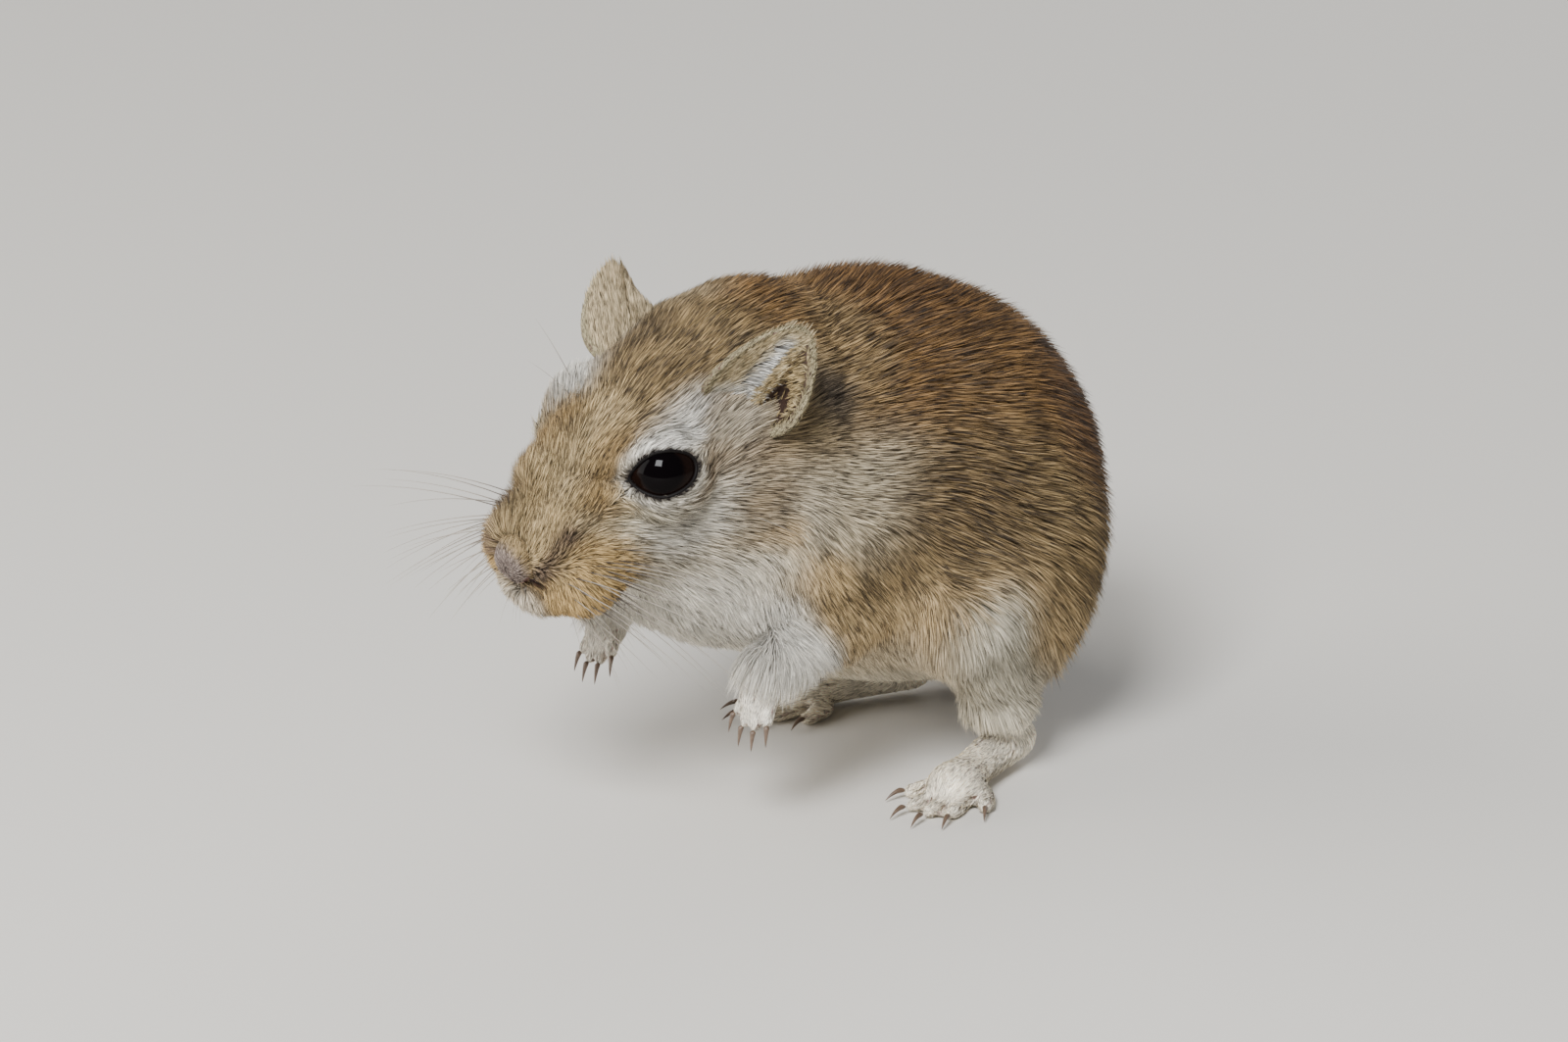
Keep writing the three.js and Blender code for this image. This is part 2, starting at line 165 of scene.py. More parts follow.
def ripple(points, size, seed):
    """Smooth noise from -1 to 1, whose bumps are about that many millimetres wide."""
    turn = np.random.default_rng(seed)
    total = np.zeros(points.shape[:-1])
    for _ in range(6):
        way = unit(turn.normal(size=3)) * turn.uniform(0.7, 1.4) * math.pi / size
        total += np.sin(points @ way + turn.uniform(0, 6.3))
    return total / 3


def linear(code):
    """A colour written as sRGB hex, turned linear."""
    parts = np.array([int(code[i : i + 2], 16) for i in (1, 3, 5)]) / 255
    return np.where(parts <= 0.04045, parts / 12.92, ((parts + 0.055) / 1.055) ** 2.4)


# Eyes: each ball's place and axis, and the almond that its lids leave open, in the head's own directions


def eye_at(name, side, axis, long, above, below):
    """One eye: its opening reaches that many degrees round the ball to a corner, above and below its axis."""
    axis = unit(np.array(axis))
    corners = np.array([-0.869, 0.527 * side, -0.119])  # from the inner corner to the outer one
    across = unit(corners - axis * (axis @ corners))
    up = np.cross(across, axis)
    return {
        "name": name,
        "centre": on_side(EYE_PLACE + EYE_SET, side),
        "axis": axis,
        "across": across,
        "up": up * np.sign(up[2]),
        "reach": np.radians([long, above, below]),
    }


EYES = [
    eye_at("left", 1, [0.36, 0.61, 0.74], 57, 27, 38),
    eye_at("right", -1, [0.16, -0.92, 0.35], 46, 20, 35),
]
LID_REACH = 9  # how far from a ball's centre the lids shape the face, mm
BARE_EDGE = 0.05  # how far beyond their edge the lids are bare, radians


def opening_edge(turn, eye):
    """How far from the eye's axis the lids' edge lies, in radians; 0 turn is the outer corner."""
    long, above, below = eye["reach"]
    power = 1.75 + 0.38 * np.cos(turn)
    wide = np.abs(np.cos(turn)) / long
    tall = np.abs(np.sin(turn)) / np.where(np.sin(turn) > 0, above, below)
    return (wide**power + tall**power) ** (-1 / power)


def round_eye(h, eye):
    """How far points of the head are from the ball's centre, and beyond the lids' edge in radians."""
    off = h - eye["centre"]
    far = np.maximum(np.linalg.norm(off, axis=-1), 1e-6)
    turn = np.arctan2(off @ eye["up"], off @ eye["across"])
    return far, np.arccos(np.clip(off @ eye["axis"] / far, -1, 1)) - opening_edge(turn, eye)


# The coat, region by region: depth and length of the hair in mm, tufts to the square mm, share of hairs
# with a black tip, share of hairs dark throughout, the colour of the hair's band and of the bare skin

BACK_COAT = {
    "depth": 2.9,
    "length": 5.0,
    "loft": 0.8,  # how far the tips stand off beyond the coat's depth
    "free": 0.0,  # 1 where the hair goes straight on instead of following the body
    "width": 0.17,
    "spread": 0.36,
    "tufts": 7.2,
    "ticking": 0.62,
    "dark": 0.14,
    "band": "#8e6c42",
    "skin": "#54463c",
}
MOUTH = [[17.0, 0, -5], [16.6, 0, -7.2], [15.2, 1.6, -8.8], [12.5, 3.6, -10.4], [9.5, 4.6, -11.6]]
PARTING = [[17, 3, -2.4], [12.6, 4.1, -0.5]]  # over the whisker pad
NOSTRIL = [17.2, 2.2, -4.1]


def mouth_mask(hm, radius):
    return np.max([near_line(hm, a, b, radius) for a, b in zip(MOUTH, MOUTH[1:])], 0)


def foot_masks(points):
    """Where the hind feet are, and where the forepaws."""
    low = ease(10.5, 7.5, points[..., 2])
    hind = [near_line(points, leg["heel"], leg["toes"], 7.4) * low for leg in HIND_LEGS]
    fore = [near_line(points, leg["wrist"], leg["fingers"], 4.8) for leg in FORE_LEGS]
    return np.maximum(*hind), np.maximum(*fore)


def toe_groove_mask(points, radius):
    return np.max([near_line(points, a, b, radius, 0.6) for a, b in TOE_GROOVES], 0)


def tail_place(points):
    """How far points are from the tail's line, and how far along it they lie, from 0 to 1."""
    best, place = np.full(points.shape[:-1], 1e9), np.zeros(points.shape[:-1])
    for i, (a, b) in enumerate(zip(TAIL_LINE, TAIL_LINE[1:])):
        far, t = along_line(points, a, b)
        nearer = far < best
        best = np.where(nearer, far, best)
        place = np.where(nearer, (i + t) / (len(TAIL_LINE) - 1), place)
    return best, place


def regions(points):
    """Each region's mask and what it changes; later ones lie over earlier ones."""
    yield from body_regions(points)
    yield from head_regions(points)
    yield from leg_regions(points)
    yield from tail_regions(points)


def body_regions(points):
    y, z = points[..., 1], points[..., 2]
    height = z + 0.5 * np.clip(y - 2, 0, 30) + 1.2 * ripple(points, 9, 1)
    both = np.concatenate([np.abs(points[..., :1]), points[..., 1:]], -1)
    # from the back down over the flank to the belly
    yield ease(48, 36, height), dict(band="#97805a", ticking=0.52)
    yield ease(31, 24, height), dict(band="#bda378", ticking=0.26, dark=0.08, skin="#8d8079")
    yield ease(24, 15, height), dict(band="#cbc1ab", ticking=0.04, dark=0.02)
    # breast, shoulder and the streaks under the throat
    yield near(points, [2, -27, 22], [12, 9, 12]), dict(band="#d3cdbf", ticking=0.05, dark=0.03)
    yield near(both, [16, -17, 38], [6, 8, 6], 0.6), dict(band="#bcae93", ticking=0.28, dark=0.1)
    yield near_line(both, [13, -29, 35], [17, -19, 31], 2.2, 0.6), dict(band="#c3a676", ticking=0.22)
    yield near_line(both, [9, -30, 29], [13, -23.5, 26], 3.2, 0.6), dict(band="#d3cec2", ticking=0.06)
    # thigh, flank, top of the back, rump and nape
    thigh = near_line(both, [22.5, -0.5, 22], [20.5, 5, 11], 4.8, 0.6)
    yield thigh, dict(band="#c4bca8", ticking=0.04, dark=0.03)
    yield near(both, [18.8, -5, 38], [4, 8, 6], 0.6), dict(band="#7d6746", ticking=0.6)
    # top of the back: a darker band, partly the fur's own darker colour and partly painted shade
    yield near(points, [0, 4, 54], [12, 12, 6], 0.6), dict(band="#745533")
    # rump: painted shade, a darker band with more black tips
    yield near(both, [12, 17, 42], [9, 8, 10], 0.6), dict(band="#76583a", ticking=0.68, loft=0.3)
    yield near(both, [8, -15, 50], [8, 6, 6], 0.5), dict(band="#a58a60")
    # long loose hair at the elbow and behind the thigh
    yield near(both, [14, -19, 22], [6, 6, 4], 0.5), dict(length=7.5, loft=1.2, spread=0.5, free=0.35)
    yield near(both, [17, 14, 15], [7, 7, 9], 0.5), dict(length=6.5, loft=1.6, spread=0.5, free=0.35)


def head_regions(points):
    h = in_head(points)
    hm = folded(h)
    face = ease(-26, -14, h[..., 0])
    yield face, dict(depth=1.5, length=3.2, width=0.12, spread=0.24, tufts=14, dark=0.14, loft=0.15)
    # crown, back of the head, cheek and throat
    yield near(hm, [-5, 0, 7], [14, 9, 5.5]) * face, dict(band="#a38a60", ticking=0.56, dark=0.22)
    yield near(hm, [-14, 9, 0], [6, 6, 8]) * face, dict(band="#aa9673", ticking=0.4, length=4)
    yield near(hm, [0, 10, -9], [12, 7, 7]) * face, dict(band="#cdc1a9", ticking=0.24)
    yield near(hm, [3, 0, -16], [16, 14, 6.5]) * face, dict(band="#d2ccbe", ticking=0.05, dark=0.06)
    # in front of the eye, the cheek's pale patch with its sandy streaks, and the top of the muzzle
    yield near(hm, [9, 8, -1], [7, 5, 5]), dict(band="#c8bda2", ticking=0.15)
    yield near(hm, [3.5, 8.5, -4.5], [7, 4, 4], 0.6), dict(band="#d2ccbe", ticking=0.12, dark=0.12)
    yield near_line(hm, [4, 10, -7.5], [-6, 13.5, -10], 1.6, 0.8), dict(band="#c2a474", ticking=0.25)
    yield near(hm, [-4.5, 12, -6], [4, 3, 3], 0.6), dict(band="#b09d80", ticking=0.42)
    yield near(hm, [9, 0, 4], [9, 6.5, 5]), dict(band="#c2ab80", ticking=0.36, depth=1.1, length=2.5)
    # pale round the eyes, with the brows, then the ochre line from the eye to the muzzle
    for eye in EYES:
        far, beyond = round_eye(h, eye)
        yield ease(0.5, 0.2, beyond) * (far < LID_REACH), dict(band="#c6bfb0", ticking=0.12, dark=0.1)
    yield near(h, [-1.5, 7, 4.8], [5.2, 3, 2.4], 0.6), dict(band="#d6d2c8", ticking=0.1)
    yield near(h, [-7, -6.5, 6], [4.5, 4, 3.5], 0.5), dict(band="#7d6a4c", ticking=0.58)
    yield near(h, [1.6, -6, 5.2], [4, 2.6, 2.4], 0.6), dict(band="#c6c2b8", ticking=0.05, length=2.0)
    yield near(hm, [-6, 9, 1.5], [4, 3, 3], 0.6), dict(band="#bcb09a", ticking=0.3)
    yield near_line(hm, [4.4, 3.4, 4.6], [9, 4.6, 1.6], 1.9, 0.9), dict(band="#b09364", ticking=0.42)
    # muzzle: its short hair, whisker pad, bridge, chin and upper lip
    yield near(hm, [14, 0, -3], [7, 9, 9]), dict(depth=0.9, length=1.9, tufts=19, width=0.1, spread=0.2)
    yield near(hm, [13, 6, -5.4], [5, 5, 5]), dict(band="#c9a972", ticking=0.26, length=1.9)
    yield near(hm, [15, 2, 0.5], [3.5, 3.5, 3]), dict(band="#c2aa7e", ticking=0.22)
    yield near(hm, [14, 4, -11.5], [7, 6, 2.6]), dict(band="#d2cab9", ticking=0.0, dark=0.0)
    yield near(hm, [17, 0, -7.4], [2.6, 3, 2.2]), dict(band="#c4b8a4", ticking=0.0, length=1.6, loft=0.4)
    yield near_line(h, [16.4, -3.8, -1.8], [7, -3.6, 4], 2.8, 0.6), dict(loft=1.1)
    yield near_line(h, [5, -4.5, 4.6], [-1, -5, 6.2], 2.4, 0.6), dict(loft=1.0)
    parting = near_line(hm, *PARTING, 0.9, 0.6)
    yield parting, dict(band="#8f7963", tufts=9, dark=0.24, length=0.9, skin="#4a352f")
    # inside the nostrils: dark red-brown, darkened as painted shade in the openings, with no tufts
    inside = near(hm, NOSTRIL, [0.9, 1.0, 0.6], 0.5)
    yield inside, dict(band="#3a1a16", skin="#2a0f0d", depth=0.3, tufts=0)
    # lids, mouth and the dark patch behind the ear, partly darker fur and partly painted shade of the ear
    for eye in EYES:
        far, beyond = round_eye(h, eye)
        around = ease(LID_REACH + 0.5, LID_REACH - 1.5, far)
        yield ease(0.6, 0.12, beyond) * around, dict(depth=0.35, length=1.5, tufts=28, spread=0.12, loft=0)
        yield ease(0.09, 0.06, beyond) * around, dict(band="#1c1411", skin="#100b09", length=0.35)
    yield mouth_mask(hm, 0.5), dict(tufts=3, depth=0.4, length=0.8, skin="#7d5048")
    # behind the ear: darker fur, with painted shade of the ear over it
    yield near(hm, [-18.5, 11.5, -2], [4, 3.4, 4.2], 0.5), dict(band="#6a6055", ticking=0.6, dark=0.25)


def leg_regions(points):
    for leg in HIND_LEGS:
        shank = near_line(points, leg["knee"], leg["ankle"], 7)
        yield shank, dict(depth=1.9, length=4.6, loft=0.3, free=0.4)
        ankle = near_line(points, leg["ankle"], leg["heel"], 5)
        yield ankle, dict(depth=1.0, length=3.0, tufts=9, width=0.16, loft=0.3)
    for leg in FORE_LEGS:
        yield near_line(points, leg["elbow"], leg["wrist"], 4.6), dict(depth=1.3, tufts=9)
    hind, fore = foot_masks(points)
    yield hind, dict(depth=0.3, length=1.4, tufts=14, width=0.11, spread=0.17, loft=0)
    yield hind, dict(band="#fff6e2", ticking=0.0, dark=0.0, skin="#d6beb0")
    yield fore, dict(depth=0.22, length=1.0, tufts=17, width=0.09, spread=0.13, loft=0)
    yield fore, dict(band="#f2ebdc", ticking=0.0, dark=0.0, skin="#b7938a")
    for leg in FORE_LEGS:
        cuff = near(points, np.array(leg["wrist"]) + [0, 1.2, 2.6], [5, 5, 3.2], 0.4)
        yield cuff, dict(depth=0.8, length=5.5, loft=0.9, spread=0.4, free=0.3, band="#d3cec2")
    # between the toes: sparser hair, and a darker band and skin as painted shade in the creases
    yield toe_groove_mask(points, 0.4), dict(band="#b3a08e", tufts=5, skin="#7c5a50")


def tail_regions(points):
    tail, t = tail_place(points)
    on_tail = ease(7.5, 5.5, tail) * ease(0.06, 0.16, t)
    yield on_tail, dict(depth=1.1, length=3.2, tufts=7.5, width=0.15, band="#a98a5e")
    yield on_tail, dict(ticking=0.3, skin="#80654a", loft=0, free=0)
    yield on_tail * ease(0.6, 0.85, t), dict(length=4.6, band="#584430", dark=0.45, free=0.5)
    yield on_tail * ease(0.8, 0.98, t), dict(depth=1.3, length=6.5, free=0.85, tufts=15)


def as_numbers(value):
    """A value of the coat as numbers; colours are written as hex."""
    return linear(value) if isinstance(value, str) else np.asarray(value, float)


def blended(base, shape, changes_by_mask):
    """The base values, one set per point, with each mask's changes laid over them in turn."""
    made = {}
    for key, value in base.items():
        start = as_numbers(value)
        made[key] = np.broadcast_to(start, (*shape, *start.shape)).astype(float)
    for mask, changes in changes_by_mask:
        for key, value in changes.items():
            goal = as_numbers(value)
            made[key] = mixed(made[key], goal, mask[..., None] if goal.ndim else mask)
    return made


def coat_at(points):
    """The markings and the make of the coat at points. Skin and coat both take theirs from here."""
    return blended(BACK_COAT, points.shape[:-1], regions(points))


def underfur(coat):
    """The skin's own colour with the short underfur over it, with the coat's markings but darker: partly the
    underfur's own slate, partly painted shade under the coat.
    """
    # darker than the band: the underfur's own slate and painted shade under the coat
    fur = coat["band"] * (0.5 - 0.25 * coat["ticking"])[:, None]
    bare = ease(0.6, 0.2, coat["depth"])[:, None] * 0.5
    return mixed(fur, coat["skin"], 0.35 + bare)


# Lie of the coat: the way the hair points at places on the body, followed in between

HEAD_LIE = [
    [[17.5, 0, 0.4], [-0.4, 0, 1]], [[17, 2.6, -3], [-0.5, 0.85, 0]], [[15, 2, 2.5], [-0.8, 0.1, 0.6]],
    [[14, 0, 3.6], [-0.9, 0, 0.45]], [[9, 0, 5], [-1, 0, 0.25]], [[3, 0, 7.2], [-1, 0, 0.1]],
    [[-4, 0, 7.8], [-1, 0, -0.05]], [[-12, 0, 7], [-1, 0, -0.2]], [[10, 3.5, 2.6], [-0.9, 0.1, 0.4]],
    [[13.5, 4.2, 0.8], [-0.6, -0.1, 0.8]], [[6, 5.5, 1.2], [-1, 0.35, 0.2]], [[3, 3.5, 6.5], [-1, 0.15, 0.2]],
    [[0, 6.5, 5.2], [-1, 0.5, 0]], [[-5, 9.5, 1.5], [-1, 0.5, 0.3]], [[1, 9, -4], [-1, 0.25, -0.5]],
    [[7, 8, -3.5], [-1, 0.25, -0.25]], [[-3, 11, -8], [-0.9, 0.1, -0.6]], [[9, 8, -5], [-0.9, 0.3, -0.5]],
    [[13.6, 7.6, -4.4], [-0.35, 0.3, -0.9]], [[16, 5, -5], [0, 0.3, -1]], [[13, 6, -9], [-0.2, 0.2, -1]],
    [[15, 1, -8], [-0.6, 0.2, -0.8]], [[13, 0, -11], [-1, 0, -0.4]], [[4, 0, -15], [-1, 0, -0.3]],
    [[4, 8, -13], [-0.9, 0.1, -0.6]], [[-8, 6, 7], [-1, 0.15, 0.1]], [[-15, 11, 0], [-1, 0.1, -0.2]],
]  # fmt: skip
BODY_LIE = [
    [[2, -18, 56], [0, 1, 0]], [[0, -8, 56], [0, 1, -0.05]], [[0, 4, 53.5], [0, 1, -0.35]],
    [[0, 16, 47], [0, 0.8, -0.8]], [[0, 24, 38], [0, 0.45, -1]], [[0, 27, 25], [0, 0.2, -1]],
    [[0, 24, 14], [0, 0.6, -0.8]], [[12, -22, 45], [0.2, 1, -0.15]], [[17, -14, 38], [0, 1, -0.35]],
    [[19, -5, 40], [0, 1, -0.3]], [[18, 6, 42], [0, 1, -0.6]], [[18, 14, 38], [0, 0.8, -0.9]],
    [[21, -1, 29], [0.1, 0.9, -0.6]], [[22, 4, 22], [0.1, 0.5, -0.9]], [[21, -4, 19], [0, 0.15, -1]],
    [[18, 14, 18], [0, 0.5, -1]], [[17, -18, 32], [0, 0.5, -1]], [[16, -15, 22], [0, 0.4, -0.8]],
    [[14, -22, 27], [0.1, 0.3, -1]], [[8, -26, 23], [0.1, 0.7, -0.7]], [[0, -24, 22], [0, 0.6, -0.8]],
    [[0, -8, 12], [0, 1, -0.1]], [[0, 8, 10], [0, 1, 0.05]], [[12, -6, 15], [0, 0.9, -0.4]],
    [[15.5, -20, 24], [0.15, 0.5, -0.9]], [[14.5, -18, 20], [0.1, 0.5, -0.9]],
]  # fmt: skip
LEG_JOINTS = [(HIND_LEGS, ("knee", "ankle", "heel", "toes")), (FORE_LEGS, ("wrist", "fingers"))]


def lie_guides():
    """All guides as (places, ways) in the animal's frame."""
    places, ways = [], []

    def guide(place, way):
        places.append(np.array(place, float))
        ways.append(unit(np.array(way, float)))

    def guide_along(a, b):
        a, b = np.array(a, float), np.array(b, float)
        for share in (0.35, 0.65, 1):
            guide(a + share * (b - a), b - a)

    for place, way in HEAD_LIE:
        guide(head_point(place), head_way(way))
        if place[1]:
            guide(head_point(on_side(place, -1)), head_way(on_side(way, -1)))
    for place, way in BODY_LIE:
        guide(place, way)
        if place[0]:
            guide([-place[0], *place[1:]], [-way[0], *way[1:]])
    for legs, joints in LEG_JOINTS:
        for leg in legs:
            for a, b in zip(joints, joints[1:]):
                guide_along(leg[a], leg[b])
    for a, b in zip(TAIL_LINE[1:], TAIL_LINE[2:]):
        guide_along(a, b)
    return np.array(places), np.array(ways)


GUIDE_PLACES, GUIDE_WAYS = lie_guides()


def lie_at(points, normals):
    """The way the hair points at each place, flat against the skin, and never over an open eye."""
    way = np.zeros_like(points)
    for place, guide in zip(GUIDE_PLACES, GUIDE_WAYS):
        off = points - place
        way += guide / (np.sum(off * off, -1) + 1.5)[:, None] ** 2
    way = unit(way)
    way += 0.16 * np.stack([ripple(points, 7, seed) for seed in (5, 6, 7)], -1)
    h = in_head(points)
    for eye in EYES:
        off = h - eye["centre"]
        away = head_way(unit(off - (off @ eye["axis"])[:, None] * eye["axis"]))
        far, beyond = round_eye(h, eye)
        by_lid = ease(0.6, 0.1, beyond) * ease(LID_REACH, LID_REACH - 2, far)
        inward = np.minimum(np.sum(way * away, -1), 0) * by_lid
        way += (0.25 * by_lid - inward)[:, None] * away
    way -= np.sum(way * normals, -1)[:, None] * normals
    return unit(way)


# Skin: the flesh nodes cast as one, let in by the coat's depth

SIDES = ("left", "right")
FEET = [f"{part}_{side}" for part in ("hind_foot", "forepaw") for side in SIDES]
FLESH = ["trunk", "neck", "head", "tail_base", "tail_middle", "tail_tip", *FEET]
FLESH += [f"{part}_{side}" for part in ("thigh", "upper_arm", "shank", "forearm") for side in SIDES]
LID_THICKNESS = 0.22
SKIN_TRIANGLES = 160_000
CAST_GRAIN = 0.37  # size of the remeshed faces, fine enough for the toes


def mesh_from(bm, name):
    mesh = bpy.data.meshes.new(name)
    bm.to_mesh(mesh)
    bm.free()
    return mesh


def in_scene(name, data):
    """A new object with this data, linked into the scene."""
    obj = bpy.data.objects.new(name, data)
    bpy.context.collection.objects.link(obj)
    return obj


def swollen_copy(node, swell):
    """A merged copy of a CAD node, grown a little so that it closes the gap to its neighbour."""
    bm = bmesh.new()
    bm.from_mesh(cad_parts[node].data)
    bmesh.ops.remove_doubles(bm, verts=bm.verts, dist=1e-6)
    bm.normal_update()
    for vert in bm.verts:
        vert.co += vert.normal * swell * MM
    return mesh_from(bm, "part")


def remade(mesh, kind, **settings):
    """The mesh with one modifier applied to it."""
    obj = in_scene("cast", mesh)
    modifier = obj.modifiers.new("cast", kind)
    for key, value in settings.items():
        setattr(modifier, key, value)
    made = bpy.data.meshes.new_from_object(obj.evaluated_get(bpy.context.evaluated_depsgraph_get()))
    bpy.data.objects.remove(obj)
    bpy.data.meshes.remove(mesh)
    return made


def flesh_cast():
    """All the flesh nodes, and a ball of lid over each eye, remeshed as one closed shell."""
    whole = bmesh.new()
    for node in FLESH:
        mesh = swollen_copy(node, 0.08 if node in FEET else 0.24)
        whole.from_mesh(mesh)
        bpy.data.meshes.remove(mesh)
    for eye in EYES:
        place = Matrix.Translation(to_model(head_point(eye["centre"])))
        radius = (EYE_RADIUS + 0.8) * MM
        bmesh.ops.create_uvsphere(whole, u_segments=32, v_segments=20, radius=radius, matrix=place)
    return remade(mesh_from(whole, "cast"), "REMESH", mode="VOXEL", voxel_size=CAST_GRAIN * MM)


def points_of(mesh):
    flat = np.empty(len(mesh.vertices) * 3, np.float32)
    mesh.vertices.foreach_get("co", flat)
    return from_model(flat.reshape(-1, 3).astype(float))


def normals_of(mesh):
    flat = np.empty(len(mesh.vertices) * 3, np.float32)
    mesh.vertex_normals.foreach_get("vector", flat)
    return flat.reshape(-1, 3).astype(float)


def put_points(mesh, points):
    mesh.vertices.foreach_set("co", to_model(points).astype(np.float32).ravel())
    mesh.update()


def relax(mesh, rounds, share):
    """Evens out the shell: each point moves that share of the way to the middle of its neighbours."""
    points = points_of(mesh)
    ends = np.empty(len(mesh.edges) * 2, np.int32)
    mesh.edges.foreach_get("vertices", ends)
    ends = ends.reshape(-1, 2)
    here, there = np.concatenate([ends[:, 0], ends[:, 1]]), np.concatenate([ends[:, 1], ends[:, 0]])
    count = np.maximum(np.bincount(here, minlength=len(points)), 1)[:, None]
    for _ in range(rounds):
        total = [np.bincount(here, points[there, i], len(points)) for i in range(3)]
        points += share[:, None] * (np.stack(total, -1) / count - points)
    put_points(mesh, points)


def shape_lids(h, eye):
    """Brings the skin's points close over the ball beyond the lids' edge, and behind the ball inside it."""
    far, beyond = round_eye(h, eye)
    slack = np.clip(beyond - 0.1, 0, 2)
    lowest = EYE_RADIUS + LID_THICKNESS
    highest = lowest + 3.5 * slack + 12 * slack**2
    reach = np.where(beyond < 0.03, EYE_RADIUS - 0.9, np.clip(far, lowest, highest))
    close = (far < LID_REACH) & (beyond < 1.1)
    return np.where(close[:, None], eye["centre"] + (h - eye["centre"]) * (reach / far)[:, None], h)


def shape_face(mesh):
    """A hollow round each eyeball for the lids, and the mouth's line."""
    h, normals = in_head(points_of(mesh)), normals_of(mesh)
    for eye in EYES:
        h = shape_lids(h, eye)
    sunk = 0.9 * mouth_mask(folded(h), 0.7)
    put_points(mesh, head_point(h) - normals * sunk[:, None])


def claw_ends(node, foot):
    """Where a CAD claw leaves its toe, and where it ends."""
    corners = np.unique(points_of(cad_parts[node].data).round(4), axis=0)
    toe = from_model(np.array(sum(map(Vector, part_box(foot)), Vector())) / 2)
    reach = np.linalg.norm(corners - toe, axis=1)
    return corners[reach < reach.min() + 0.5].mean(0), corners[reach.argmax()]


def toe_grooves():
    """Lines between neighbouring toes, from just behind the claws back over the foot."""
    lines = []
    for end, foot, toes, legs, joint, long in (
        ("fore", "forepaw", 4, FORE_LEGS, "wrist", 3.4),
        ("hind", "hind_foot", 5, HIND_LEGS, "heel", 5.5),
    ):
        for side, leg in zip(SIDES, legs):
            names = [f"{end}_{side}_claw_{number}" for number in range(1, toes + 1)]
            roots = [claw_ends(name, f"{foot}_{side}")[0] for name in names]
            for a, b in zip(roots, roots[1:]):
                front = (a + b) / 2
                lines.append([front, front + unit(np.array(leg[joint]) - front) * long])
    return lines


TOE_GROOVES = toe_grooves()


def thinned(mesh):
    """Fewer faces where the coat hides the skin; the face and the feet keep theirs."""
    points = points_of(mesh)
    kept = near(folded(in_head(points)), [6, 4, -1], [14, 10, 11], 0.05) + np.maximum(*foot_masks(points))
    obj = bpy.data.objects.new("cast", mesh)
    group = obj.vertex_groups.new(name="spare")
    group.add(np.flatnonzero(kept < 0.5).tolist(), 1.0, "REPLACE")
    bpy.data.objects.remove(obj)
    share = SKIN_TRIANGLES / len(triangles_of(mesh)[0])
    return remade(mesh, "DECIMATE", ratio=min(share, 1), vertex_group="spare", use_collapse_triangulate=True)


def fuller(points):
    """How far the skin is built out where an evened cast falls short of the animal's outline, mm."""
    h = in_head(points)
    nape = 1.4 * near(points, [0, -15.5, 57], [10, 4.6, 5], 0.5)
    top = 1.3 * near(points, [-3, 1, 55], [12, 7, 6], 0.5)
    snout = 1.2 * near_line(folded(h), [15.5, 3.4, -0.8], [10.5, 3.5, 2.4], 2.4, 0.6)
    bridge = 0.7 * near_line(h, [9, -3.6, 3.2], [6.5, -4, 4.2], 1.8, 0.6)
    lip = 1.5 * near(folded(h), [16.8, 0.8, -7.6], [2.6, 3, 1.8], 0.5)
    return nape + top + snout + bridge + lip


def make_skin():
    mesh = flesh_cast()
    firm = np.maximum(*foot_masks(points_of(mesh)))
    relax(mesh, 30, 0.5 - 0.42 * firm)
    points, normals = points_of(mesh), normals_of(mesh)
    grooves = 0.5 * toe_groove_mask(points, 0.45)
    let_in = coat_at(points)["depth"] + 0.1 * (1 - firm) + grooves - fuller(points)
    put_points(mesh, points - normals * let_in[:, None])
    relax(mesh, 12, 0.5 - 0.45 * firm)
    shape_face(mesh)
    return thinned(mesh)


# Ears: a thin cupped leaf each, the way across it first, then up it, then out of its face


def ear_frame(ear):
    root, tip = head_point(ear["base"]), head_point(ear["tip"])
    up = unit(tip - root)
    height = np.linalg.norm(tip - root) + EAR_FOOT
    facing = head_way(ear["facing"])
    facing = unit(facing - up * (facing @ up))
    return np.stack([np.cross(up, facing) * ear["side"], up, facing], -1), root - up * EAR_FOOT, height


def ear_hollow(x, y):
    """How far the leaf stands out of its plane, mm; x runs across it and y up it, each from -1 to 1."""
    bend = 2.2 * (x * x - 1) * (1 - 0.35 * y) + 0.4 * np.maximum(0, x * x + y * y - 0.7)
    pocket = -2.0 * np.exp(-((x - 0.6) ** 2 / 0.05 + (y + 0.2) ** 2 / 0.18))
    fold = 0.35 * np.exp(-((x - 0.12 - 0.3 * y) ** 2) / 0.012) * ease(-0.1, 0.3, y) * ease(0.95, 0.6, y)
    return bend + pocket + fold


def ear_leaf(ear):
    turn, root, height = ear_frame(ear)
    bm = bmesh.new()
    bmesh.ops.create_grid(bm, x_segments=44, y_segments=44, size=1)
    for vert in bm.verts:
        x, y, _ = vert.co
        x, y = x * math.sqrt(1 - y * y / 2), y * math.sqrt(1 - x * x / 2)
        across = x * EAR_HALF_WIDTH * (1 - 0.28 * y) - ear["forward"]
        place = turn @ np.array([across, (y + 1) * height / 2 - EAR_SUNK, ear_hollow(x, y)]) + root
        vert.co = Vector(to_model(place))
    bm.normal_update()
    bmesh.ops.solidify(bm, geom=bm.faces, thickness=EAR_THICKNESS * MM)
    bmesh.ops.recalc_face_normals(bm, faces=bm.faces)
    return mesh_from(bm, "ear")


EAR_COAT = {
    "depth": 0.4,
    "length": 1.7,
    "loft": 0.0,
    "width": 0.11,
    "spread": 0.15,
    "tufts": 15,
    "ticking": 0.12,
    "dark": 0.1,
    "band": "#c2b18c",
    "skin": "#74554c",
    "way": [0.4, 0.8, 0.1],
}


